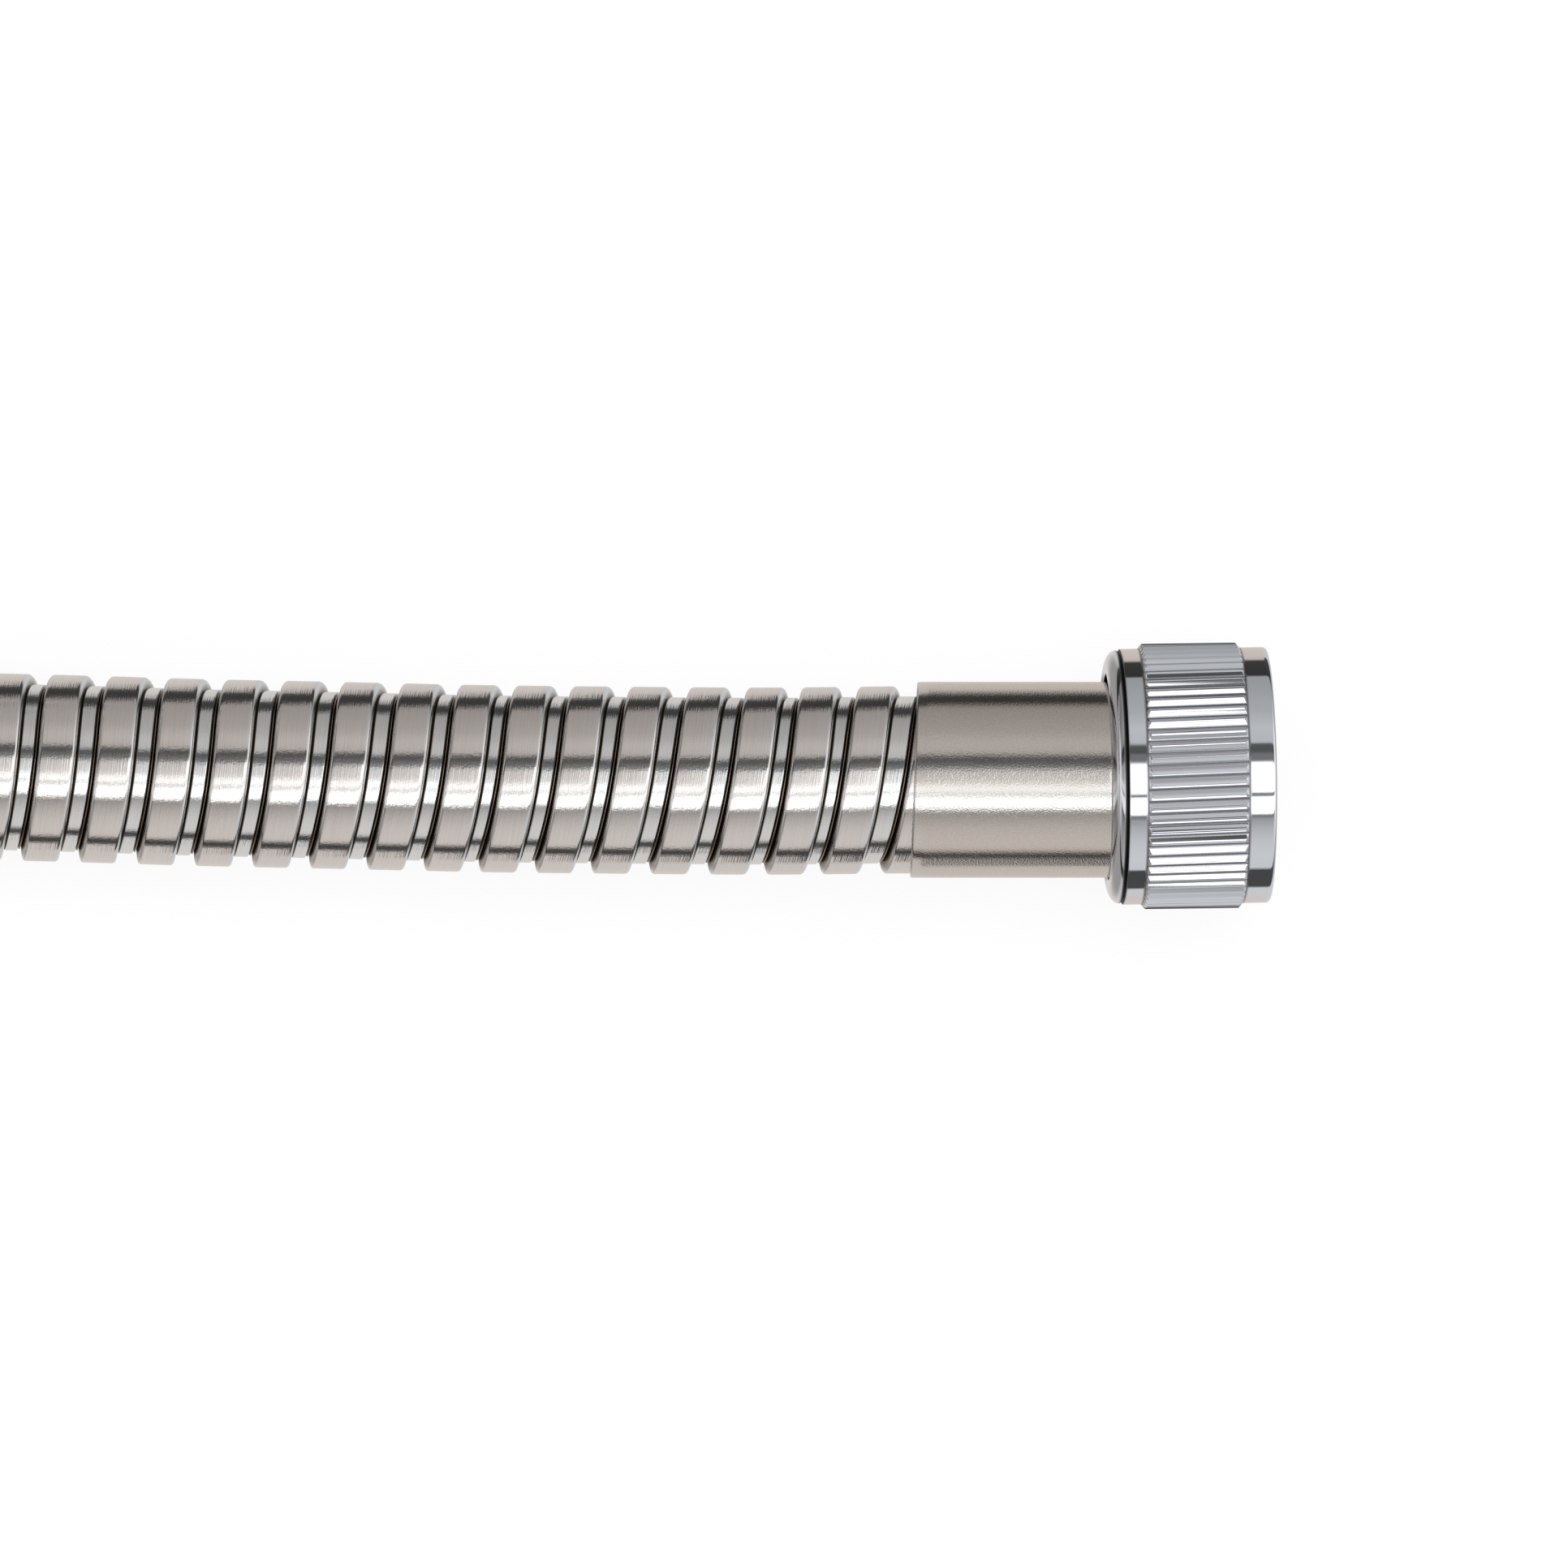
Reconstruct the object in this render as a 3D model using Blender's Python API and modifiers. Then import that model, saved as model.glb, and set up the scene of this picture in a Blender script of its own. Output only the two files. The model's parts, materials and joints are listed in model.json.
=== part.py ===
"""A shower hose lying on a table: a spiral-armoured hose with a knurled swivel nut at one end and a hexagonal
swivel nut at the other, its spare length wound into a tied coil.

Metres, +Z up. The table is z = 0. The origin is under the middle of the knurled end fitting, whose axis
runs along +X. Every end piece is drawn in its fitting's own frame: Z runs along the hose's axis, out of the
hose, and z = 0 is the back face of the nut.
"""

import math

import bmesh
import bpy
from mathutils import Matrix, Vector

OBJECT_NAME = "shower_hose"

# Clearances
GAP = 0.0003
TURN_GAP = 0.0001
NEST_GAP = 0.0005

# The hose
HOSE_RADIUS = 0.0086
HOSE_BEVEL_RESOLUTION = 4
POINT_SPACING = 0.034

# The sleeve crimped on the hose's end
SLEEVE_RADIUS = 0.009
SLEEVE_WALL = 0.0008
SLEEVE_MOUTH_WALL = 0.00035
SLEEVE_MOUTH_DEPTH = 0.005
SLEEVE_MOUTH_Z = -0.01765
SLEEVE_FRONT_Z = 0.0011
SLEEVE_PLATE = 0.0008
SLEEVE_FRONT_ROUND = 0.0007
MOUTH_SLANT = math.radians(2.1)

# The hose tail
TAIL_WALL = 0.0008
FLANGE_CLEARANCE = 0.0008
FLANGE_THICKNESS = 0.0016
FLANGE_CHAMFER = 0.0003
NECK_RADIUS = 0.0062
COLLAR_CLEARANCE = 0.0008
COLLAR_THICKNESS = 0.0018
BARB_HEIGHT = 0.0006
BARB_COUNT = 4
BARB_LAND = 0.0007
BARB_STEP = 0.0004
SHANK_LENGTH = 0.0142

# The inner tube, where the sleeve clamps it on the tail
INNER_TUBE_CLEARANCE = 0.0006
INNER_TUBE_WALL = 0.0018
INNER_TUBE_END_GAP = 0.001

# Both nuts: the inside, for a G1/2 thread
NUT_LENGTH = 0.0149
THREAD_MINOR_RADIUS = 0.0093
THREAD_DEPTH = 0.0011
REAR_BORE_CLEARANCE = 0.00055
REAR_BORE_DEPTH = 0.0022
WEB_THICKNESS = 0.0014
NECK_CLEARANCE = 0.0008
NUT_END_PLAY = 0.001

# The knurled nut's outside
RIM_RADIUS = 0.01175
REAR_LIP_WALL = 0.0002
REAR_SHOULDER = 0.0013
REAR_RIM_END = 0.0033
FRONT_RIM_START = 0.0124
FRONT_ROUND = 0.0008
KNURL_ROOT_STEP = 0.00005
KNURL_HEIGHT = 0.0004
KNURL_CHAMFER = 0.0003
KNURL_LEAN = math.radians(1.6)
RIDGE_COUNT = 66
RIDGE_CREST = 0.00026
GROOVE_REACH = 0.001

# How the knurled nut hangs askew and aside on its tail
NUT_TURN = math.radians(0.8)
NUT_DROOP = math.radians(3.2)
NUT_SIDESTEP = 0.00025

# The hexagonal nut's outside
HEX_ACROSS_FLATS = 0.024
HEX_CHAMFER_ANGLE = math.radians(30)

# The sealing washers
WASHER_BORE_RADIUS = 0.005
WASHER_THICKNESS = 0.002
WASHER_FLANGE_GAP = 0.0009

# The knurled fitting's place
FITTING_X = 0.00118
FITTING_Y = -0.00036

# The coil ties
TIE_THICKNESS = 0.0008
TIE_WIDTH = 0.008
TIE_ANGLES = {"coil_tie_top": 40.0, "coil_tie_back": 133.0}

# The hose's route from the sleeve's mouth to the coil, by hand; each height is over the table
RUN_ROUTE = (
    (-0.0300, -0.00048, 0.0127),
    (-0.0450, -0.00038, 0.0122),
    (-0.0560, -0.00025, 0.0117),
    (-0.0705, 0.00007, 0.0110),
    (-0.0820, 0.00031, 0.0104),
    (-0.0930, 0.00064, 0.0098),
    (-0.1040, 0.00090, 0.0093),
    (-0.1200, 0.00110, 0.0089),
    (-0.1400, 0.00105, 0.0087),
    (-0.1600, 0.00085, 0.0087),
    (-0.1800, 0.00070, 0.0090),
    (-0.1960, 0.00078, 0.0094),
)
COIL_START = (-0.2100, 0.0011)

# The coil. Its angle is in degrees, clockwise seen from above, from the side nearest the straight run
OUTER_TURN_RADIUS = 0.0956
START_ANGLE = 3.0
SHIFT_ANGLES = (250.0, 344.0)
CLIMB_ANGLES = (500.0, 610.0)
RISE_ANGLES = (764.0, 810.0)
END_ANGLE = 810.0
ANGLE_STEP = 6.0
COIL_SECTION_POINTS = 9
COIL_NECK_ANGLE = math.radians(22)

TURNED_STEPS = 48
COIL_STEPS = 72
CURVE_STEPS = 24
TIE_ARC_STEPS = 24

# Worked out from the sizes above
LANE = 2 * HOSE_RADIUS + TURN_GAP
TOP_TURN_RADIUS = OUTER_TURN_RADIUS - LANE / 2
COIL_BASE_Z = TIE_THICKNESS + GAP + HOSE_RADIUS
COIL_CENTRE = (
    COIL_START[0] + OUTER_TURN_RADIUS * math.sin(math.radians(START_ANGLE)),
    COIL_START[1] + OUTER_TURN_RADIUS * math.cos(math.radians(START_ANGLE)),
)
HEX_CORNER_RADIUS = HEX_ACROSS_FLATS / 2 / math.cos(math.pi / 6)
FAR_AXIS_Z = COIL_BASE_Z + HOSE_RADIUS + GAP + HEX_CORNER_RADIUS
SLEEVE_BORE_RADIUS = SLEEVE_RADIUS - SLEEVE_WALL
SLEEVE_MOUTH_RADIUS = SLEEVE_RADIUS - SLEEVE_MOUTH_WALL
COLLAR_RADIUS = SLEEVE_BORE_RADIUS - COLLAR_CLEARANCE
INNER_TUBE_RADIUS = SLEEVE_BORE_RADIUS - INNER_TUBE_CLEARANCE
BARB_RADIUS = INNER_TUBE_RADIUS - INNER_TUBE_WALL - GAP
SHANK_RADIUS = BARB_RADIUS - BARB_HEIGHT
TAIL_BORE_RADIUS = SHANK_RADIUS - TAIL_WALL
THREAD_ENTRY_RADIUS = THREAD_MINOR_RADIUS + THREAD_DEPTH
FLANGE_RADIUS = THREAD_MINOR_RADIUS - FLANGE_CLEARANCE
REAR_BORE_RADIUS = SLEEVE_RADIUS + REAR_BORE_CLEARANCE
WEB_FRONT_Z = REAR_BORE_DEPTH + WEB_THICKNESS
WEB_BORE_RADIUS = NECK_RADIUS + NECK_CLEARANCE
FLANGE_BACK_Z = WEB_FRONT_Z + NUT_END_PLAY
FLANGE_FRONT_Z = FLANGE_BACK_Z + FLANGE_THICKNESS
WASHER_BACK_Z = FLANGE_FRONT_Z + WASHER_FLANGE_GAP
COLLAR_FRONT_Z = SLEEVE_FRONT_Z - SLEEVE_PLATE - GAP
COLLAR_BACK_Z = COLLAR_FRONT_Z - COLLAR_THICKNESS
KNURL_ROOT_RADIUS = RIM_RADIUS + KNURL_ROOT_STEP
KNURL_RADIUS = KNURL_ROOT_RADIUS + KNURL_HEIGHT
KNURL_FRONT_Z = FRONT_RIM_START - KNURL_CHAMFER
FITTING_Z = KNURL_FRONT_Z * math.sin(NUT_DROOP) + KNURL_RADIUS * math.cos(NUT_DROOP)
NEAR_ORIGIN = Vector((FITTING_X, FITTING_Y, FITTING_Z))


def clear_scene():
    """Removes every object that the scene starts with."""
    for obj in list(bpy.data.objects):
        bpy.data.objects.remove(obj, do_unlink=True)


def new_collection(name, parent=None, hidden=False):
    """A collection under the scene or another collection."""
    made = bpy.data.collections.new(name)
    (parent or bpy.context.scene.collection).children.link(made)
    made.hide_render = hidden
    return made


def new_material(name, colour, metallic, roughness):
    """A Principled material of one colour."""
    made = bpy.data.materials.new(name)
    made.use_nodes = True
    shader = made.node_tree.nodes["Principled BSDF"]
    shader.inputs["Base Color"].default_value = (*colour, 1.0)
    shader.inputs["Metallic"].default_value = metallic
    shader.inputs["Roughness"].default_value = roughness
    made.diffuse_color = (*colour, 1.0)
    return made


def frame_along(axis, place):
    """A matrix at a place whose Z is the axis and whose Y points up."""
    z = Vector(axis).normalized()
    up = Vector((0.0, 0.0, 1.0))
    y = (up - z * up.dot(z)).normalized()
    x = y.cross(z)
    turn = Matrix((x, y, z)).transposed().to_4x4()
    return Matrix.Translation(place) @ turn


def new_empty(name, matrix, collection):
    """An empty that carries the pieces of one fitting or one moving body."""
    made = bpy.data.objects.new(name, None)
    made.matrix_world = matrix
    collection.objects.link(made)
    return made


def new_object(name, data, parent, collection, material=None):
    """An object on its parent empty, with its material."""
    made = bpy.data.objects.new(name, data)
    collection.objects.link(made)
    made.parent = parent
    if material is not None and not data.materials:
        data.materials.append(material)
    return made


def as_cutter(obj):
    """Marks an object as a cutter: it is not a piece of the hose."""
    obj.hide_render = True
    obj.display_type = "WIRE"


def profile_mesh(name, profile):
    """The edges of a closed outline of (radius, z) points in the XZ plane."""
    mesh = bpy.data.meshes.new(name)
    count = len(profile)
    edges = [(i, (i + 1) % count) for i in range(count)]
    mesh.from_pydata([(r, 0.0, z) for r, z in profile], edges, [])
    return mesh


def add_turning(obj, steps):
    """Turns an object's outline about its Z axis."""
    screw = obj.modifiers.new("turned", "SCREW")
    screw.axis = "Z"
    screw.steps = steps
    screw.render_steps = steps
    screw.use_merge_vertices = True
    screw.merge_threshold = 0.00001
    screw.use_smooth_shade = True


def add_cut(obj, cutter, operation="DIFFERENCE"):
    """A Boolean between an object and a cutter."""
    cut = obj.modifiers.new(cutter.name, "BOOLEAN")
    cut.object = cutter
    cut.operation = operation
    cut.solver = "EXACT"


def turned(name, profile, parent, collection, material=None, steps=TURNED_STEPS):
    """A turned piece."""
    obj = new_object(name, profile_mesh(name, profile), parent, collection, material)
    add_turning(obj, steps)
    return obj


def arc(centre, radii, start, end, count):
    """Points on a quarter or any stretch of an ellipse, from one angle to another in degrees."""
    points = []
    for i in range(count):
        angle = math.radians(start + (end - start) * i / (count - 1))
        r = centre[0] + radii[0] * math.cos(angle)
        z = centre[1] + radii[1] * math.sin(angle)
        points.append((r, z))
    return points


def nut_inside():
    """Both nuts' inside, from the back face to the front: rear bore, web, thread chamber and chamfer."""
    return [
        (REAR_BORE_RADIUS, 0.0),
        (REAR_BORE_RADIUS, REAR_BORE_DEPTH),
        (WEB_BORE_RADIUS, REAR_BORE_DEPTH),
        (WEB_BORE_RADIUS, WEB_FRONT_Z),
        (THREAD_MINOR_RADIUS, WEB_FRONT_Z),
        (THREAD_MINOR_RADIUS, NUT_LENGTH - THREAD_DEPTH),
        (THREAD_ENTRY_RADIUS, NUT_LENGTH),
    ]


def knurled_profile():
    """The knurled nut's outline, down its outside from the front face and back up its inside."""
    middle = (RIM_RADIUS - FRONT_ROUND, NUT_LENGTH - FRONT_ROUND)
    front = arc(middle, (FRONT_ROUND, FRONT_ROUND), 90, 0, 5)
    knurl = [
        (RIM_RADIUS, FRONT_RIM_START),
        (KNURL_RADIUS, KNURL_FRONT_Z),
        (KNURL_RADIUS, REAR_RIM_END + KNURL_CHAMFER),
        (RIM_RADIUS, REAR_RIM_END),
    ]
    lip = REAR_BORE_RADIUS + REAR_LIP_WALL
    back = arc((lip, REAR_SHOULDER), (RIM_RADIUS - lip, REAR_SHOULDER), 0, -90, 6)
    return front + knurl + back + nut_inside()


def groove_cutter(parent, collection):
    """The V grooves between the knurl's ridges, as one ring of three-sided prisms."""
    mesh = bpy.data.meshes.new("knurl_grooves")
    bm = bmesh.new()
    pitch = 2 * math.pi * KNURL_RADIUS / RIDGE_COUNT
    opening = (pitch - RIDGE_CREST) / 2 / KNURL_HEIGHT
    half_width = GROOVE_REACH * opening
    length = FRONT_RIM_START - REAR_RIM_END + 2 * KNURL_CHAMFER
    middle = (FRONT_RIM_START + REAR_RIM_END) / 2
    # A three-sided cone of radius 1 is 1.5 high and the root of 3 wide. Its first corner is turned inwards.
    height_each = GROOVE_REACH / 1.5
    shape = Matrix.Diagonal((-height_each, half_width / (math.sqrt(3) / 2), 1.0, 1.0))
    out = Matrix.Translation((KNURL_ROOT_RADIUS + height_each, 0.0, middle))
    lean = Matrix.Rotation(KNURL_LEAN, 4, "X")
    for i in range(RIDGE_COUNT):
        around = Matrix.Rotation(2 * math.pi * i / RIDGE_COUNT, 4, "Z")
        made = bmesh.ops.create_cone(
            bm, cap_ends=True, segments=3, radius1=1.0, radius2=1.0, depth=length
        )
        first = made["verts"][0].co
        facing = Matrix.Rotation(-math.atan2(first.y, first.x), 4, "Z")
        bmesh.ops.transform(bm, matrix=around @ out @ lean @ shape @ facing, verts=made["verts"])
    bmesh.ops.recalc_face_normals(bm, faces=bm.faces)
    bm.to_mesh(mesh)
    bm.free()
    cutter = new_object("knurl_grooves", mesh, parent, collection)
    as_cutter(cutter)
    return cutter


def make_knurled_nut(parent, parts, cutters, material):
    """The knurled nut: a turned body with grooves cut between two plain rims."""
    nut = turned("knurled_nut", knurled_profile(), parent, parts, material, RIDGE_COUNT)
    add_cut(nut, groove_cutter(parent, cutters))
    return nut


def make_hex_nut(parent, parts, cutters, material):
    """The hexagonal nut: a prism with its corners turned off at both ends and the nuts' common inside."""
    mesh = bpy.data.meshes.new("far_nut")
    bm = bmesh.new()
    corner = HEX_CORNER_RADIUS
    bmesh.ops.create_cone(
        bm, cap_ends=True, segments=6, radius1=corner, radius2=corner, depth=NUT_LENGTH
    )
    bmesh.ops.translate(bm, vec=(0.0, 0.0, NUT_LENGTH / 2), verts=bm.verts)
    bm.to_mesh(mesh)
    bm.free()
    nut = new_object("far_nut", mesh, parent, parts, material)
    flat = HEX_ACROSS_FLATS / 2
    slope = (HEX_CORNER_RADIUS + GAP - flat) * math.tan(HEX_CHAMFER_ANGLE)
    turned_corners = [
        (0.0, NUT_LENGTH + GAP),
        (flat - GAP / math.tan(HEX_CHAMFER_ANGLE), NUT_LENGTH + GAP),
        (HEX_CORNER_RADIUS + GAP, NUT_LENGTH - slope),
        (HEX_CORNER_RADIUS + GAP, slope),
        (flat - GAP / math.tan(HEX_CHAMFER_ANGLE), -GAP),
        (0.0, -GAP),
    ]
    corners = turned("far_nut_corners", turned_corners, parent, cutters)
    inside = nut_inside()
    beyond = [
        (THREAD_ENTRY_RADIUS + GAP, NUT_LENGTH + GAP),
        (0.0, NUT_LENGTH + GAP),
        (0.0, -GAP),
        (REAR_BORE_RADIUS, -GAP),
    ]
    bore = turned("far_nut_bore", (inside + beyond)[::-1], parent, cutters)
    for cutter in (corners, bore):
        as_cutter(cutter)
    add_cut(nut, corners, "INTERSECT")
    add_cut(nut, bore)
    return nut


def washer_profile():
    """A flat sealing washer that lies in the nut, in front of the tail's flange."""
    outer = THREAD_MINOR_RADIUS - GAP
    front = WASHER_BACK_Z + WASHER_THICKNESS
    return [
        (outer, front),
        (outer, WASHER_BACK_Z),
        (WASHER_BORE_RADIUS, WASHER_BACK_Z),
        (WASHER_BORE_RADIUS, front),
    ]


def tail_profile():
    """The hose tail: flange, neck, collar behind the sleeve's plate, and a barbed shank in the inner tube."""
    outline = [
        (FLANGE_RADIUS - FLANGE_CHAMFER, FLANGE_FRONT_Z),
        (FLANGE_RADIUS, FLANGE_FRONT_Z - FLANGE_CHAMFER),
        (FLANGE_RADIUS, FLANGE_BACK_Z),
        (NECK_RADIUS, FLANGE_BACK_Z),
        (NECK_RADIUS, COLLAR_FRONT_Z),
        (COLLAR_RADIUS, COLLAR_FRONT_Z),
        (COLLAR_RADIUS, COLLAR_BACK_Z),
    ]
    barb = SHANK_LENGTH / BARB_COUNT
    for i in range(BARB_COUNT):
        top = COLLAR_BACK_Z - i * barb
        step = top - BARB_LAND
        outline += [(SHANK_RADIUS, top), (SHANK_RADIUS, step), (BARB_RADIUS, step - BARB_STEP)]
    end = COLLAR_BACK_Z - SHANK_LENGTH
    outline += [(SHANK_RADIUS, end), (TAIL_BORE_RADIUS, end), (TAIL_BORE_RADIUS, FLANGE_FRONT_Z)]
    return outline


def sleeve_profile(mouth_z):
    """The sleeve: a drawn cup whose front plate closes round the tail's neck."""
    hole = NECK_RADIUS + GAP
    front = arc(
        (SLEEVE_RADIUS - SLEEVE_FRONT_ROUND, SLEEVE_FRONT_Z - SLEEVE_FRONT_ROUND),
        (SLEEVE_FRONT_ROUND, SLEEVE_FRONT_ROUND), 90, 0, 4,
    )
    plate_back = SLEEVE_FRONT_Z - SLEEVE_PLATE
    step = SLEEVE_MOUTH_Z + SLEEVE_MOUTH_DEPTH
    inside = [
        (SLEEVE_RADIUS, mouth_z),
        (SLEEVE_MOUTH_RADIUS, mouth_z),
        (SLEEVE_MOUTH_RADIUS, step),
        (SLEEVE_BORE_RADIUS, step),
        (SLEEVE_BORE_RADIUS, plate_back),
        (hole, plate_back),
        (hole, SLEEVE_FRONT_Z),
    ]
    return front + inside


def inner_tube_profile():
    """The end of the inner tube, pushed over the tail's barbs."""
    inner = BARB_RADIUS + GAP
    front = COLLAR_BACK_Z - GAP
    back = SLEEVE_MOUTH_Z + INNER_TUBE_END_GAP
    return [(INNER_TUBE_RADIUS, front), (INNER_TUBE_RADIUS, back), (inner, back), (inner, front)]


def slant_cutter(parent, collection):
    """A block behind the knurled fitting's sleeve whose front face leans, as its cut edge does."""
    mesh = bpy.data.meshes.new("sleeve_slant")
    bm = bmesh.new()
    bmesh.ops.create_cube(bm, size=4 * SLEEVE_RADIUS)
    bmesh.ops.translate(bm, vec=(0.0, 0.0, -2 * SLEEVE_RADIUS), verts=bm.verts)
    bmesh.ops.rotate(bm, matrix=Matrix.Rotation(-MOUTH_SLANT, 3, "Y"), verts=bm.verts)
    bmesh.ops.translate(bm, vec=(0.0, 0.0, SLEEVE_MOUTH_Z), verts=bm.verts)
    bm.to_mesh(mesh)
    bm.free()
    cutter = new_object("sleeve_slant", mesh, parent, collection)
    as_cutter(cutter)
    return cutter


def ramp(value, start, end):
    """0 before start, 1 after end, and a smooth rise between."""
    share = min(max((value - start) / (end - start), 0.0), 1.0)
    return 0.5 - 0.5 * math.cos(math.pi * share)


def lower_turn_radius(angle):
    """The radius of the first turn, which moves in by one lane before it meets the straight run."""
    return OUTER_TURN_RADIUS - LANE * ramp(angle, *SHIFT_ANGLES)


def coil_point(angle):
    """A point of the hose's centreline in the coil: out, in, over and round again on top."""
    nested = LANE + NEST_GAP
    if angle <= CLIMB_ANGLES[0]:
        radius = lower_turn_radius(angle)
        height = 0.0
    elif angle <= CLIMB_ANGLES[1]:
        share = ramp(angle, *CLIMB_ANGLES)
        reach = LANE + NEST_GAP * share
        lift = share * math.acos(LANE / 2 / nested)
        radius = OUTER_TURN_RADIUS - reach * math.cos(lift)
        height = reach * math.sin(lift)
    else:
        radius = TOP_TURN_RADIUS
        off = radius - lower_turn_radius(angle - 360)
        height = math.sqrt(nested**2 - min(abs(off), LANE / 2) ** 2)
        height += (FAR_AXIS_Z - COIL_BASE_Z - height) * ramp(angle, *RISE_ANGLES)
    around = math.radians(angle)
    x = COIL_CENTRE[0] - radius * math.sin(around)
    y = COIL_CENTRE[1] - radius * math.cos(around)
    return Vector((x, y, COIL_BASE_Z + height))


def smooth_curve(points, per_span):
    """A Catmull-Rom curve through the points, leaving the first straight along the fitting's axis."""
    points = [Vector(p) for p in points]
    before = points[0] + Vector((points[0].x - points[1].x, 0.0, 0.0))
    after = 2 * points[-1] - points[-2]
    held = [before, *points, after]
    curve = []
    for i in range(1, len(held) - 2):
        a, b, c, d = held[i - 1 : i + 3]
        for j in range(per_span):
            t = j / per_span
            bend = 2 * a - 5 * b + 4 * c - d
            twist = 3 * b - a - 3 * c + d
            curve.append(0.5 * (2 * b + (c - a) * t + bend * t**2 + twist * t**3))
    return curve + [points[-1]]


def spaced(curve, spacing):
    """Points an even way apart along a fine curve, about the spacing asked for."""
    lengths = [0.0]
    for a, b in zip(curve, curve[1:]):
        lengths.append(lengths[-1] + (b - a).length)
    count = max(2, round(lengths[-1] / spacing) + 1)
    points = []
    for i in range(count):
        want = lengths[-1] * i / (count - 1)
        j = max(k for k in range(len(curve) - 1) if lengths[k] <= want + 1e-9)
        share = (want - lengths[j]) / (lengths[j + 1] - lengths[j])
        points.append(curve[j].lerp(curve[j + 1], share))
    return points


def run_points():
    """The centreline of the hose from the sleeve's mouth to where it meets the coil's solid."""
    mouth = NEAR_ORIGIN + Vector((SLEEVE_MOUTH_Z, 0.0, 0.0))
    slant = SLEEVE_RADIUS * math.tan(MOUTH_SLANT)
    route = [mouth, *RUN_ROUTE, coil_point(START_ANGLE)]
    centre = Vector(COIL_CENTRE)
    edge = OUTER_TURN_RADIUS + HOSE_RADIUS + GAP
    curve = smooth_curve(route, CURVE_STEPS)
    kept = []
    for point, after in zip(curve, curve[1:]):
        along = (after - point).xy.normalized()
        # The cap's corner nearest the coil lies square to the run, on its right-hand side.
        corner = point.xy + Vector((along.y, -along.x)) * HOSE_RADIUS
        if point.x < mouth.x - slant - GAP and (corner - centre).length > edge:
            kept.append(point)
    return spaced(kept, POINT_SPACING)


def top_points():
    """The centreline of the hose on top of the coil, from the climb's end to the far sleeve's mouth."""
    count = round((END_ANGLE - CLIMB_ANGLES[1]) / ANGLE_STEP)
    step = (END_ANGLE - CLIMB_ANGLES[1]) / count
    points = [coil_point(CLIMB_ANGLES[1] + step * i) for i in range(count + 1)]
    points[-1].y -= GAP
    return points


def make_hose(name, points, collection, material):
    """A stretch of the hose as one plain tube."""
    curve = bpy.data.curves.new(name, "CURVE")
    curve.dimensions = "3D"
    curve.bevel_depth = HOSE_RADIUS
    curve.bevel_resolution = HOSE_BEVEL_RESOLUTION
    curve.use_fill_caps = True
    spline = curve.splines.new("POLY")
    spline.points.add(len(points) - 1)
    for point, place in zip(spline.points, points):
        point.co = (*place, 1.0)
    return new_object(name, curve, None, collection, material)


def coil_section():
    """The outline of two turns side by side, with a neck between them, down the outside first."""
    edge = math.pi - COIL_NECK_ANGLE
    outline = []
    for centre, facing in ((LANE / 2, 0.0), (-LANE / 2, math.pi)):
        for i in range(COIL_SECTION_POINTS):
            angle = facing + edge - 2 * edge * i / (COIL_SECTION_POINTS - 1)
            r = TOP_TURN_RADIUS + centre + HOSE_RADIUS * math.cos(angle)
            outline.append((r, HOSE_RADIUS * math.sin(angle)))
    return outline


def make_coil(collection, material):
    """The two turns that lie on the table, as one turned ring."""
    place = Matrix.Translation((*COIL_CENTRE, COIL_BASE_Z))
    axis = new_empty("coil_axis", place, collection)
    return turned("hose_coil", coil_section(), axis, collection, material, COIL_STEPS)


def belt(centres, radius):
    """The line a belt takes round circles of one radius, whose centres are given anticlockwise."""
    points = []
    count = len(centres)
    for i, centre in enumerate(centres):
        into = Vector(centre) - Vector(centres[i - 1])
        out = Vector(centres[(i + 1) % count]) - Vector(centre)
        start = math.atan2(into.y, into.x) - math.pi / 2
        sweep = (math.atan2(out.y, out.x) - math.atan2(into.y, into.x)) % (2 * math.pi)
        steps = max(2, round(sweep / (2 * math.pi) * TIE_ARC_STEPS))
        for j in range(steps + 1):
            angle = start + sweep * j / steps
            points.append((centre[0] + radius * math.cos(angle), centre[1] + radius * math.sin(angle)))
    return points


def make_tie(name, angle, collection, material):
    """A band round the turns that lie together at one angle of the coil."""
    around = math.radians(angle)
    out = Vector((-math.sin(around), -math.cos(around), 0.0))
    centres = [(-LANE / 2, 0.0), (LANE / 2, 0.0)]
    top = coil_point(angle + 720)
    if angle + 720 < END_ANGLE:
        centres.append((0.0, top.z - COIL_BASE_Z))
    curve = bpy.data.curves.new(name, "CURVE")
    curve.dimensions = "2D"
    curve.fill_mode = "BOTH"
    curve.extrude = TIE_WIDTH / 2
    for offset in (GAP + TIE_THICKNESS, GAP):
        points = belt(centres, HOSE_RADIUS + offset)
        spline = curve.splines.new("POLY")
        spline.points.add(len(points) - 1)
        for point, (x, y) in zip(spline.points, points):
            point.co = (x, y, 0.0, 1.0)
        spline.use_cyclic_u = True
    tie = new_object(name, curve, None, collection, material)
    y = Vector((0.0, 0.0, 1.0))
    turn = Matrix((out, y, out.cross(y))).transposed().to_4x4()
    place = Vector((*COIL_CENTRE, COIL_BASE_Z)) + out * TOP_TURN_RADIUS
    tie.matrix_world = Matrix.Translation(place) @ turn
    return tie


def smooth_round_pieces(collection):
    """Shades the turned pieces smooth, with their corners kept sharp."""
    for obj in collection.objects:
        if obj.type == "MESH":
            obj.data.shade_smooth()
            obj.data.set_sharp_from_angle(angle=math.radians(35))


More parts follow.
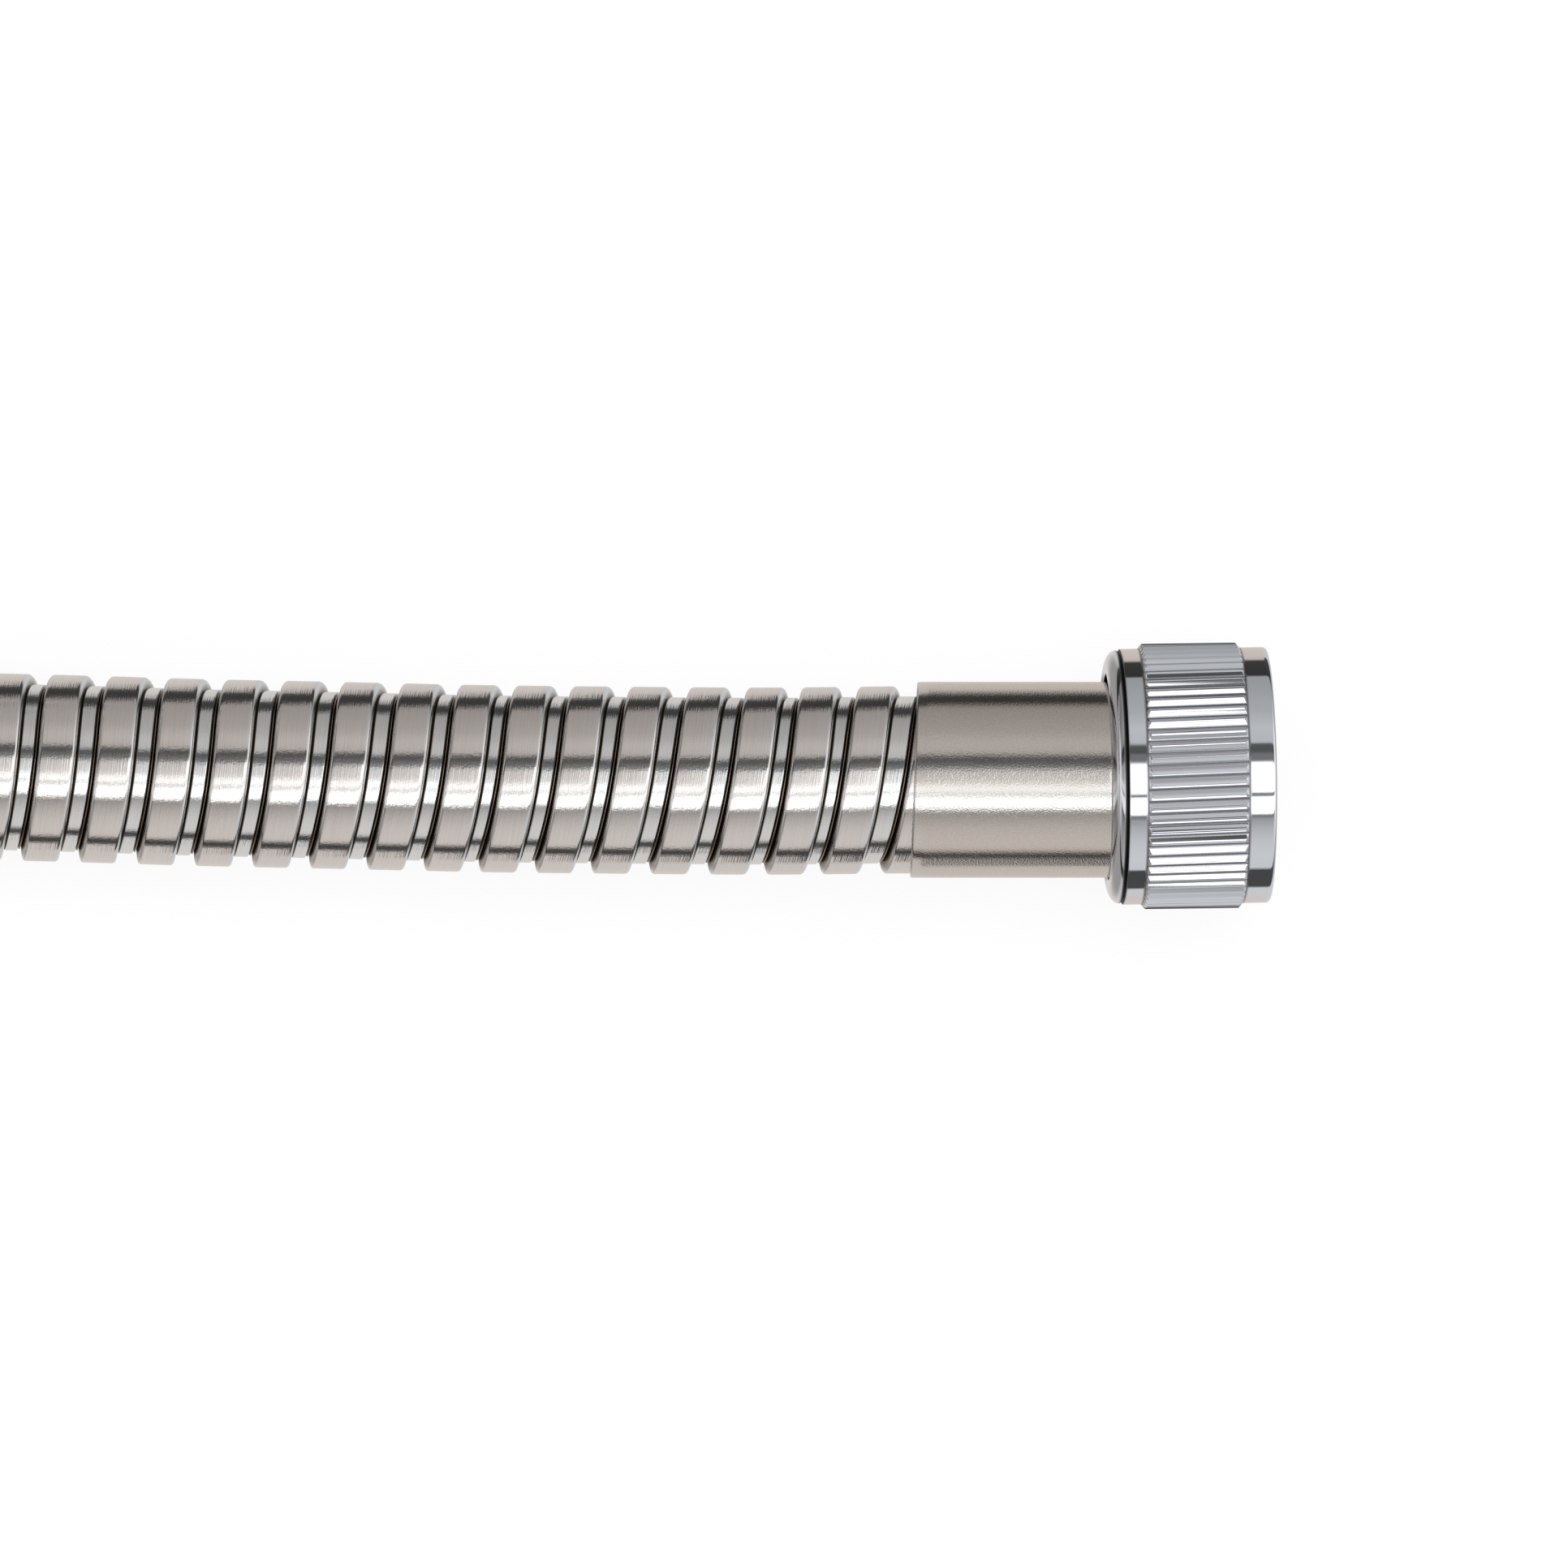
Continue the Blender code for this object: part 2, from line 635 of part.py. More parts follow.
def main():
    """Builds the knurled fitting, the hose, the coil with its ties, and the far fitting."""
    clear_scene()
    parts = new_collection(OBJECT_NAME)
    cutters = new_collection(OBJECT_NAME + "_cutters", hidden=True)

    chrome = (0.80, 0.81, 0.83)
    steel = (0.62, 0.59, 0.56)
    nut_material = new_material("chromed_nut", chrome, 1.0, 0.06)
    sleeve_material = new_material("satin_sleeve", steel, 1.0, 0.3)

    near = new_empty("near_end", frame_along((1.0, 0.0, 0.0), NEAR_ORIGIN), parts)
    askew = Vector((
        math.cos(NUT_DROOP) * math.cos(NUT_TURN),
        math.cos(NUT_DROOP) * math.sin(NUT_TURN),
        -math.sin(NUT_DROOP),
    ))
    aside = NEAR_ORIGIN + Vector((0.0, NUT_SIDESTEP, 0.0))
    near_nut = new_empty("knurled_nut_axis", frame_along(askew, aside), parts)
    far_mouth = coil_point(END_ANGLE)
    far_origin = far_mouth - Vector((0.0, SLEEVE_MOUTH_Z, 0.0))
    far = new_empty("far_end", frame_along((0.0, 1.0, 0.0), far_origin), parts)

    make_knurled_nut(near_nut, parts, cutters, nut_material)
    make_hex_nut(far, parts, cutters, new_material("chromed_hex_nut", chrome, 1.0, 0.08))

    past_mouth = SLEEVE_MOUTH_Z - SLEEVE_RADIUS * math.tan(MOUTH_SLANT) - GAP
    sleeve = turned("end_sleeve", sleeve_profile(past_mouth), near, parts, sleeve_material)
    add_cut(sleeve, slant_cutter(near, cutters))
    far_sleeve_material = new_material("satin_far_sleeve", steel, 1.0, 0.3)
    turned("far_sleeve", sleeve_profile(SLEEVE_MOUTH_Z), far, parts, far_sleeve_material)

    for prefix, fitting, nut_axis in (("", near, near_nut), ("far_", far, far)):
        brass = new_material(prefix + "brass_tail", (0.72, 0.52, 0.22), 1.0, 0.25)
        rubber = new_material(prefix + "washer_rubber", (0.03, 0.03, 0.03), 0.0, 0.7)
        tube = new_material(prefix + "inner_tube_plastic", (0.75, 0.76, 0.74), 0.0, 0.45)
        turned(prefix + "hose_tail", tail_profile(), fitting, parts, brass)
        turned(prefix + "nut_washer", washer_profile(), nut_axis, parts, rubber)
        turned(prefix + "inner_tube_end", inner_tube_profile(), fitting, parts, tube)

    armour = (0.70, 0.69, 0.67)
    make_hose("hose_run", run_points(), parts, new_material("armour_run", armour, 1.0, 0.15))
    make_hose("hose_top_run", top_points(), parts, new_material("armour_top", armour, 1.0, 0.15))
    make_coil(parts, new_material("armour_coil", armour, 1.0, 0.15))
    for name, angle in TIE_ANGLES.items():
        make_tie(name, angle, parts, new_material(name + "_band", (0.02, 0.02, 0.02), 0.0, 0.6))
    smooth_round_pieces(parts)


main()
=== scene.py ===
"""The looks of a shower hose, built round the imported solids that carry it.

A spiral-armoured steel hose leaves the camera's view to the left. Its near end has a satin sleeve and a
knurled swivel nut in polished chrome, which lies a little askew. Its spare length is wound in a coil held by
two bands, and the far end lies on the coil with a hexagonal swivel nut.

Metres, +Z up, the table is z = 0. The end pieces are drawn in their fitting's own frame, where z runs along
the fitting's axis, out of the hose, and z = 0 is the back face of the nut.
"""

from __future__ import annotations

import json
import logging
import math
from collections.abc import Sequence
from dataclasses import dataclass, field
from enum import Enum

import bpy
import numpy as np
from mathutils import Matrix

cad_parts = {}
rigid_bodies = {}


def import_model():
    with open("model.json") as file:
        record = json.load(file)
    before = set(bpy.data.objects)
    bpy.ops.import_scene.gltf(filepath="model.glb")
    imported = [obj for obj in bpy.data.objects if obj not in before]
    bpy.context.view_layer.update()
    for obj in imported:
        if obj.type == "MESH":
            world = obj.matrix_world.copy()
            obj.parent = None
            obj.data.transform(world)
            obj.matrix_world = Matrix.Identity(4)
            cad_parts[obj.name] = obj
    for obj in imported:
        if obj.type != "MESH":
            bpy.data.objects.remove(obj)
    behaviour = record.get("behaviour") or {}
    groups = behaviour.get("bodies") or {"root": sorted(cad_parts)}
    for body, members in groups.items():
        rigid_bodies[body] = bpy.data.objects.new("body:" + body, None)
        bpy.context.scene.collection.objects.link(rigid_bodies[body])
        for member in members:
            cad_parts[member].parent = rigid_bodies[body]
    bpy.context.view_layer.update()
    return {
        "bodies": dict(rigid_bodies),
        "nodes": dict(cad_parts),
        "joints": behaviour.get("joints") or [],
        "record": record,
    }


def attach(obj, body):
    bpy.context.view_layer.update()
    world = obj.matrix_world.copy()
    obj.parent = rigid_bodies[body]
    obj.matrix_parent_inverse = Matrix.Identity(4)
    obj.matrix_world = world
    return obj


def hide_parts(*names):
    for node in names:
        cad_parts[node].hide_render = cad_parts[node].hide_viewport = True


LOG = logging.getLogger("shower_hose")
MM = 0.001
FULL_TURN = 2 * math.pi

# The knurled fitting's place, and how its loose nut lies askew and aside on it
NEAR_PLACE = (0.00118, -0.00036, 0.0128564)
NUT_TURN = math.radians(0.8)
NUT_DROOP = math.radians(3.2)
NUT_SIDESTEP = 0.00025
# How far the near sleeve's mouth leans, how far each sleeve reaches back, and the points of the cord's path
MOUTH_SLANT = math.radians(2.1)
SLEEVE_REACH = 0.01765
PATH_POINTS = 420
# The colour of the plating on both nuts, and plain white light
CHROME = (0.85, 0.865, 0.905)
WHITE = (1.0, 1.0, 1.0, 1.0)

Array = np.ndarray
Colour = tuple[float, float, float]
Stops = tuple[tuple[float, ...], ...]


class Body(Enum):
    """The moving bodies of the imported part."""

    HOSE = "hose"
    KNURLED_NUT = "knurled_nut"
    FAR_NUT = "far_nut"


class Slot(Enum):
    """The record's material slots of the new pieces' finishes."""

    KNURLED_CHROME = "knurled_nut_chrome"
    HEX_CHROME = "hex_nut_chrome"
    SLEEVE = "sleeve_steel"
    ARMOUR = "armour_steel"


def ramp(value: Array, start: float, end: float) -> Array:
    """A smooth rise from 0 to 1, as half a cosine wave.

    Args:
        value: Where to read the rise.
        start: The last value with 0.
        end: The first value with 1.

    Returns:
        An array of the same shape as value.
    """
    share = np.clip((np.asarray(value, float) - start) / (end - start), 0.0, 1.0)
    return 0.5 - 0.5 * np.cos(math.pi * share)


def unit(vectors: Array) -> Array:
    """The vectors divided by their lengths."""
    vectors = np.asarray(vectors, float)
    return vectors / np.linalg.norm(vectors, axis=-1, keepdims=True)


def catmull_rom(a: Array, b: Array, c: Array, d: Array, t: Array) -> Array:
    """The Catmull-Rom curve between b and c, at the share t of the way; a lies before them and d after."""
    bend, twist = 2 * a - 5 * b + 4 * c - d, 3 * b - a - 3 * c + d
    return 0.5 * (2 * b + (c - a) * t + bend * t**2 + twist * t**3)


def grid_quads(rows: int, columns: int, close_rows: bool = False, close_columns: bool = False) -> Array:
    """The four-sided faces of a grid of points, numbered row by row.

    Args:
        rows: Rows of points.
        columns: Points in a row.
        close_rows: Whether the last row meets the first.
        close_columns: Whether each row's last point meets its first.

    Returns:
        An (n, 4) array of point numbers.
    """
    i = np.arange(rows if close_rows else rows - 1)[:, None]
    j = np.arange(columns if close_columns else columns - 1)[None, :]
    after_i, after_j = (i + 1) % rows, (j + 1) % columns
    corners = (i * columns + j, after_i * columns + j, after_i * columns + after_j, i * columns + after_j)
    return np.stack(corners, axis=-1).reshape(-1, 4)


def mesh_object(
    name: str, points: Array, faces: Array, uv: Array | None = None, sharp: float = 35.0,
    painted_shade: Array | None = None,
) -> bpy.types.Object:
    """A smooth-shaded mesh object with its place in its mesh.

    Args:
        name: The object's name.
        points: (n, 3) places in metres.
        faces: (m, 3) or (m, 4) point numbers.
        uv: (m, corners, 2) surface coordinates, or None.
        sharp: Edges that bend more than this, in degrees, stay sharp.
        painted_shade: How dark each point is painted as shade, and how dull, from 0 to 1, or None.

    Returns:
        The linked object.
    """
    mesh = bpy.data.meshes.new(name)
    count, corners = faces.shape
    mesh.vertices.add(len(points))
    mesh.vertices.foreach_set("co", np.ascontiguousarray(points, np.float32).ravel())
    mesh.loops.add(count * corners)
    mesh.loops.foreach_set("vertex_index", np.ascontiguousarray(faces, np.int32).ravel())
    mesh.polygons.add(count)
    mesh.polygons.foreach_set("loop_start", np.arange(0, count * corners, corners, dtype=np.int32))
    mesh.polygons.foreach_set("loop_total", np.full(count, corners, np.int32))
    mesh.update(calc_edges=True)
    if uv is not None:
        layer = mesh.uv_layers.new(name="strip")
        layer.data.foreach_set("uv", np.ascontiguousarray(uv, np.float32).ravel())
    if painted_shade is not None:
        layer = mesh.attributes.new("painted_shade", "FLOAT", "POINT")
        layer.data.foreach_set("value", np.ascontiguousarray(painted_shade, np.float32).ravel())
    mesh.validate()
    mesh.shade_smooth()
    mesh.set_sharp_from_angle(angle=math.radians(sharp))
    made = bpy.data.objects.new(name, mesh)
    bpy.context.scene.collection.objects.link(made)
    return made


@dataclass(frozen=True)
class FittingFrame:
    """The place and direction of one fitting: z is its axis and y points up."""

    origin: tuple[float, float, float]
    axis: tuple[float, float, float]

    def directions(self) -> Array:
        """The frame's x, y and z directions as rows."""
        z = unit(np.array(self.axis))
        up = np.array((0.0, 0.0, 1.0))
        y = unit(up - z * (up @ z))
        return np.array((np.cross(y, z), y, z))

    def place(self, local: Array) -> Array:
        """Points of the fitting's frame, in the part's frame."""
        return local @ self.directions() + np.array(self.origin)


class NodePen:
    """Writes nodes and links into one node tree."""

    def __init__(self, tree: bpy.types.NodeTree) -> None:
        """Keeps the tree to write in."""
        self.tree = tree

    def fill(self, node: bpy.types.Node, inputs: dict[str | int, object]) -> None:
        """Sets each input of a node, or links it where its value is an output socket."""
        for key, value in inputs.items():
            if isinstance(value, bpy.types.NodeSocket):
                self.tree.links.new(value, node.inputs[key])
            else:
                node.inputs[key].default_value = value

    def add(
        self, kind: str, inputs: dict[str | int, object] | None = None, **settings: object,
    ) -> bpy.types.Node:
        """A new node.

        Args:
            kind: The node's type name without its Shader Node prefix.
            inputs: Socket names or numbers with a value, or with an output socket to link.
            settings: The node's own properties.

        Returns:
            The node.
        """
        node = self.tree.nodes.new("ShaderNode" + kind)
        for key, value in settings.items():
            setattr(node, key, value)
        self.fill(node, inputs or {})
        return node

    def math(self, operation: str, a: object, b: object = 0.0, clamp: bool = False) -> bpy.types.NodeSocket:
        """The output of a Math node with two inputs."""
        return self.add("Math", {0: a, 1: b}, operation=operation, use_clamp=clamp).outputs[0]

    def ramp(
        self, factor: object, stops: Sequence[tuple[float, object]], smooth: bool = False,
    ) -> bpy.types.NodeSocket:
        """The colour output of a ramp.

        Args:
            factor: What the ramp reads.
            stops: Positions with a grey level or a colour.
            smooth: Whether it eases between the stops.

        Returns:
            The colour socket.
        """
        node = self.add("ValToRGB", {"Fac": factor})
        node.color_ramp.interpolation = "EASE" if smooth else "LINEAR"
        elements = node.color_ramp.elements
        while len(elements) > 1:
            elements.remove(elements[-1])
        for i, (position, value) in enumerate(stops):
            element = elements[0] if i == 0 else elements.new(position)
            element.position = position
            colour = value if isinstance(value, tuple) else (value,) * 3
            element.color = (*colour, 1.0)
        return node.outputs["Color"]

    def mix(self, factor: object, a: object, b: object, blend: str = "MIX") -> bpy.types.NodeSocket:
        """The colour output of a Mix node, whose colours are its inputs 6 and 7."""
        return self.add("Mix", {"Factor": factor, 6: a, 7: b}, data_type="RGBA", blend_type=blend).outputs[2]

    def grain(self, vector: bpy.types.NodeSocket, *values: float) -> bpy.types.bpy_prop_collection:
        """The outputs of the shared grain group, given its vector and then its values in their order."""
        inputs = {"Vector": vector} | dict(zip(GRAIN_INPUTS, values))
        return self.add("Group", inputs, node_tree=grain_group()).outputs

    def finish(
        self, shader: bpy.types.Node, tint: object, rough: object, height: object, relief: float,
    ) -> None:
        """Gives a Principled node its colour, its roughness and a bump of this many millimetres."""
        bump = self.add("Bump", {"Height": height, "Strength": 1.0, "Distance": relief * MM})
        self.fill(shader, {"Base Color": tint, "Roughness": rough, "Normal": bump.outputs["Normal"]})


# The values of the grain group, and what they are where a finish doesn't say
GRAIN_INPUTS = {"Scale": 1.0, "Cloud Scale": 1.0, "Fleck Scale": 1.0, "Fleck Amount": 0.3}
FLECK_CONTRAST = 8.0


def grain_group() -> bpy.types.ShaderNodeTree:
    """The group that every finish shares: fine grain, slow clouds and sparse rubbed spots.

    Its Grain output is fine noise, its Cloud output slow noise for colour and gloss that drift over the
    surface, and its Rubbed output a mask of scattered dull flecks.
    """
    group = bpy.data.node_groups.get("surface_grain")
    if group is not None:
        return group
    group = bpy.data.node_groups.new("surface_grain", "ShaderNodeTree")
    sockets = group.interface
    sockets.new_socket("Vector", in_out="INPUT", socket_type="NodeSocketVector")
    for name, value in GRAIN_INPUTS.items():
        sockets.new_socket(name, in_out="INPUT", socket_type="NodeSocketFloat").default_value = value
    for name in ("Grain", "Cloud", "Rubbed"):
        sockets.new_socket(name, in_out="OUTPUT", socket_type="NodeSocketFloat")
    pen = NodePen(group)
    given = group.nodes.new("NodeGroupInput").outputs
    out = group.nodes.new("NodeGroupOutput")
    place = given["Vector"]
    noises = (("Scale", 3.0, 0.5), ("Cloud Scale", 2.0, 0.5), ("Fleck Scale", 4.0, 0.7))
    grain, cloud, fleck = (
        pen.add("TexNoise", {"Vector": place, "Scale": given[scale], "Detail": detail, "Roughness": rough})
        for scale, detail, rough in noises
    )
    above = pen.math("SUBTRACT", fleck.outputs["Fac"], pen.math("SUBTRACT", 1.0, given["Fleck Amount"]))
    rubbed = pen.math("MULTIPLY", above, FLECK_CONTRAST, clamp=True)
    pen.fill(out, {"Grain": grain.outputs["Fac"], "Cloud": cloud.outputs["Fac"], "Rubbed": rubbed})
    return group


def new_material(name: str) -> tuple[bpy.types.Material, NodePen, bpy.types.Node]:
    """An empty Principled material.

    Args:
        name: The material's name.

    Returns:
        The material, a pen for its nodes, and its Principled node.
    """
    made = bpy.data.materials.new(name)
    made.use_nodes = True
    return made, NodePen(made.node_tree), made.node_tree.nodes["Principled BSDF"]


@dataclass(frozen=True)
class MetalFinish:
    """A bare or plated metal with grain, drifting gloss and dull flecks, read in Object coordinates."""

    name: str
    colour: Colour
    roughness: float
    gloss_drift: float = 0.04
    grain_scale: float = 3000.0
    grain_height: float = 0.02
    grain_tint: float = 0.05
    cloud_scale: float = 120.0
    fleck_scale: float = 900.0
    fleck_amount: float = 0.3
    fleck_roughness: float = 0.2
    # Painted shade: a per-point attribute darkens the metal towards a near-black colour and dulls it
    has_painted_shade: bool = False
    painted_shade_colour: Colour = (0.035, 0.035, 0.038)
    painted_shade_roughness: float = 0.4

    def make(self) -> bpy.types.Material:
        """The material of this finish."""
        made, pen, shader = new_material(self.name)
        place = pen.add("TexCoord").outputs["Object"]
        grain = pen.grain(place, self.grain_scale, self.cloud_scale, self.fleck_scale, self.fleck_amount)
        darker = tuple(c * (1 - 2 * self.grain_tint) for c in self.colour)
        tint = pen.mix(grain["Grain"], (*darker, 1.0), (*self.colour, 1.0))
        drift = pen.math("MULTIPLY", pen.math("SUBTRACT", grain["Cloud"], 0.5), 2 * self.gloss_drift)
        dull = pen.math("MULTIPLY", grain["Rubbed"], self.fleck_roughness)
        rough = pen.math("ADD", pen.math("ADD", drift, self.roughness), dull, clamp=True)
        # Painted shade from the mesh's per-point attribute: darker towards the near-black colour, and
        # rougher
        if self.has_painted_shade:
            painted_shade = pen.add("Attribute", attribute_name="painted_shade", attribute_type="GEOMETRY").outputs["Fac"]
            tint = pen.mix(painted_shade, tint, (*self.painted_shade_colour, 1.0))
            rough = pen.math("ADD", rough, pen.math("MULTIPLY", painted_shade, self.painted_shade_roughness), clamp=True)
        pen.finish(shader, tint, rough, grain["Grain"], self.grain_height)
        shader.inputs["Metallic"].default_value = 1.0
        return made


@dataclass(frozen=True)
class SoftFinish:
    """A matt plastic, rubber or woven band: colour that drifts a little, and a fine raised grain."""

    name: str
    colour: Colour
    roughness: float
    grain_scale: float = 1500.0
    grain_height: float = 0.03
    drift: float = 0.15
    translucence: float = 0.0
    dust: float = 0.15

    def make(self) -> bpy.types.Material:
        """The material of this finish."""
        made, pen, shader = new_material(self.name)
        place = pen.add("TexCoord").outputs["Object"]
        grain = pen.grain(place, self.grain_scale, self.grain_scale / 12, self.grain_scale / 3)
        darker = tuple(c * (1 - self.drift) for c in self.colour)
        tint = pen.mix(grain["Cloud"], (*darker, 1.0), (*self.colour, 1.0))
        rough = pen.math("ADD", pen.math("MULTIPLY", grain["Rubbed"], self.dust), self.roughness, clamp=True)
        pen.finish(shader, tint, rough, grain["Grain"], self.grain_height)
        shader.inputs["Subsurface Weight"].default_value = self.translucence
        shader.inputs["Subsurface Radius"].default_value = (0.002, 0.002, 0.002)
        shader.inputs["Subsurface Scale"].default_value = 1.0
        return made


@dataclass(frozen=True)
class ArmourFinish:
    """Rolled stainless strip: warm crests and cooler valleys as painted reflection tints, painted shade in
    the seam and at the walls' feet, and fine lengthways lines.

    It reads the strip's own coordinates: u runs along the strip and v across it, from seam to seam.
    """

    name: str = "rolled_strip_steel"
    # The crest's warm and the valley's cool tint are painted reflections: the same steel tinted by what each
    # faces
    crest: Colour = (0.87, 0.845, 0.83)
    valley: Colour = (0.92, 0.95, 0.965)
    # Painted shade: the seam near black, and the slope, the walls' feet (edge) and the lip inside the seam
    # dark brown
    seam: Colour = (0.030, 0.022, 0.016)
    edge: Colour = (0.30, 0.24, 0.17)
    lip: Colour = (0.46, 0.36, 0.27)
    line_colour: Colour = (0.35, 0.33, 0.31)
    line_share: float = 0.22
    line_stretch: tuple[float, float, float] = (0.06, 9.0, 1.0)
    # The scales of the lines, the clouds and the flecks, and the flecks' amount
    grain: tuple[float, ...] = (9.0, 1.3, 4.0, 0.38)
    nick_scale: float = 26.0
    nick_share: float = 0.5
    roughness: float = 0.10
    seam_roughness: float = 0.35
    fleck_roughness: float = 0.10
    relief: float = 0.018

    def make(self) -> bpy.types.Material:
        """The material of the armour."""
        made, pen, shader = new_material(self.name)
        strip = pen.add("UVMap", uv_map="strip").outputs["UV"]
        across = pen.add("SeparateXYZ", {0: strip}).outputs["Y"]
        marks = ArmourStrip.marks()
        crest, valley, seam, edge, lip = self.crest, self.valley, self.seam, self.edge, self.lip
        # Across the strip: the crest's and valley's painted reflection tints, and painted shade in the seam,
        # on the slope and at the wall's foot
        colour = pen.ramp(across, [(marks[name], value) for name, value in (
            ("start", lip), ("lip", lip), ("gap", seam), ("slope", seam), ("slope_mid", edge),
            ("crest", crest), ("fillet", crest), ("foot", edge), ("foot_gap", seam), ("valley", valley),
            ("valley_end", valley), ("seam", seam), ("seam_end", seam), ("end", lip),
        )])
        depth = pen.ramp(across, [(marks[name], value) for name, value in (
            ("start", 0.4), ("gap", 1.0), ("slope", 0.8), ("crest", 0.0), ("fillet", 0.0), ("foot", 0.5),
            ("foot_gap", 0.9), ("valley", 0.0), ("valley_end", 0.0), ("seam", 1.0),
        )])
        lines = pen.add("Mapping", {"Vector": strip, "Scale": self.line_stretch}).outputs["Vector"]
        grain = pen.grain(lines, *self.grain)
        nick = {"Vector": strip, "Scale": self.nick_scale, "Detail": 3.0, "Roughness": 0.65}
        nicks = pen.add("TexNoise", nick).outputs["Fac"]
        shade = pen.math("MULTIPLY", grain["Grain"], self.line_share)
        tint = pen.mix(shade, colour, (*self.line_colour, 1.0))
        rough = pen.math("ADD", pen.math("MULTIPLY", depth, self.seam_roughness), self.roughness)
        rough = pen.math("ADD", rough, pen.math("MULTIPLY", grain["Rubbed"], self.fleck_roughness))
        height = pen.math("ADD", grain["Grain"], pen.math("MULTIPLY", nicks, self.nick_share))
        pen.finish(shader, tint, rough, height, self.relief)
        shader.inputs["Metallic"].default_value = 1.0
        return made


@dataclass(frozen=True)
class HoseRoute:
    """The hose's centreline: out of the sleeve, along the table, twice round the coil and on top of it."""

    radius: float = 0.0086
    turn_gap: float = 0.0001
    nest_gap: float = 0.0005
    mouth: tuple[float, float, float] = (-0.01647, -0.00036, 0.0128564)
    run: tuple[tuple[float, float, float], ...] = (
        (-0.0300, -0.00048, 0.0127), (-0.0450, -0.00038, 0.0122), (-0.0560, -0.00025, 0.0117),
        (-0.0705, 0.00007, 0.0110), (-0.0820, 0.00031, 0.0104), (-0.0930, 0.00064, 0.0098),
        (-0.1040, 0.00090, 0.0093), (-0.1200, 0.00110, 0.0089), (-0.1400, 0.00105, 0.0087),
        (-0.1600, 0.00085, 0.0087), (-0.1800, 0.00070, 0.0090), (-0.1960, 0.00078, 0.0094),
    )
    coil_start: tuple[float, float] = (-0.2100, 0.0011)
    outer_turn_radius: float = 0.0956
    tie_thickness: float = 0.0008
    gap: float = 0.0003
    hex_across_flats: float = 0.024
    start_angle: float = 3.0
    shift: tuple[float, float] = (250.0, 344.0)
    climb: tuple[float, float] = (500.0, 610.0)
    rise: tuple[float, float] = (764.0, 810.0)
    end_angle: float = 810.0
    coil_step: float = 0.5
    steps: int = 24

    def lane(self) -> float:
        """How far apart two turns lie side by side."""
        return 2 * self.radius + self.turn_gap

    def base_height(self) -> float:
        """The height of the lower turns' centreline."""
        return self.tie_thickness + self.gap + self.radius

    def far_height(self) -> float:
        """The height of the far fitting's axis, which stands on the coil on a corner of its nut."""
        corner = self.hex_across_flats / 2 / math.cos(math.pi / 6)
        return self.base_height() + self.radius + self.gap + corner

    def coil_centre(self) -> tuple[float, float]:
        """The middle of the coil on the table."""
        start = math.radians(self.start_angle)
        reach = self.outer_turn_radius
        return self.coil_start[0] + reach * math.sin(start), self.coil_start[1] + reach * math.cos(start)

    def coil(self, angle: Array) -> Array:
        """Points of the coil: out, in by one lane, over by nesting, and round again on top of both turns.

        Args:
            angle: Degrees clockwise seen from above, from the side nearest the straight run.

        Returns:
            (n, 3) places.
        """
        lane, nested = self.lane(), self.lane() + self.nest_gap
        outer, top = self.outer_turn_radius, self.outer_turn_radius - self.lane() / 2
        low = outer - lane * ramp(angle, *self.shift)
        share = ramp(angle, *self.climb)
        reach, lift = lane + self.nest_gap * share, share * math.acos(lane / 2 / nested)
        off = top - (outer - lane * ramp(angle - 360, *self.shift))
        high = np.sqrt(nested**2 - np.minimum(np.abs(off), lane / 2) ** 2)
        high = high + (self.far_height() - self.base_height() - high) * ramp(angle, *self.rise)
        stages = (angle <= self.climb[0], angle <= self.climb[1])
        radius = np.select(stages, (low, outer - reach * np.cos(lift)), top)
        height = np.select(stages, (0 * angle, reach * np.sin(lift)), high) + self.base_height()
        around = np.radians(angle)
        x, y = self.coil_centre()
        return np.stack((x - radius * np.sin(around), y - radius * np.cos(around), height), axis=-1)

    def centreline(self) -> Array:
        """The centreline as close points: a Catmull-Rom curve through the run, then the coil's formula."""
        held = np.array((self.mouth, *self.run, tuple(self.coil(np.array([self.start_angle]))[0])))
        before = held[0] + np.array((held[0, 0] - held[1, 0], 0.0, 0.0))
        held = np.vstack((before, held, 2 * held[-1] - held[-2]))
        a, b, c, d = (held[i : len(held) - 3 + i, None] for i in range(4))
        t = np.linspace(0.0, 1.0, self.steps, endpoint=False)[None, :, None]
        run = catmull_rom(a, b, c, d, t).reshape(-1, 3)
        angles = np.arange(self.start_angle, self.end_angle + self.coil_step / 50, self.coil_step)
        return np.vstack((run, self.coil(angles)))


@dataclass
class Centreline:
    """A curve read by its length, with a level sideways direction at every place."""

    points: Array
    lengths: Array = field(init=False)

    def __post_init__(self) -> None:
        """Measures the curve."""
        steps = np.linalg.norm(np.diff(self.points, axis=0), axis=1)
        self.lengths = np.concatenate(((0.0,), np.cumsum(steps)))

    def length(self) -> float:
        """The curve's whole length."""
        return float(self.lengths[-1])

    def at(self, distance: Array) -> Array:
        """The places at these lengths, straight on past both ends."""
        inside = np.clip(distance, 0.0, self.length())
        found = np.stack([np.interp(inside, self.lengths, self.points[:, k]) for k in range(3)], axis=-1)
        ahead = unit(self.points[1] - self.points[0]), unit(self.points[-1] - self.points[-2])
        before, past = np.minimum(distance, 0.0), np.maximum(distance - self.length(), 0.0)
        return found + before[..., None] * ahead[0] + past[..., None] * ahead[1]

    def frames(self, distance: Array, reach: float = 0.002) -> tuple[Array, Array, Array]:
        """The forward, sideways and upward directions at these lengths.

        Args:
            distance: The lengths.
            reach: Half the stretch whose chord gives the forward direction.

        Returns:
            Three (..., 3) arrays of unit vectors.
        """
        ahead = unit(self.at(distance + reach) - self.at(distance - reach))
        side = unit(np.stack((-ahead[..., 1], ahead[..., 0], 0 * ahead[..., 0]), axis=-1))
        return ahead, side, np.cross(ahead, side)


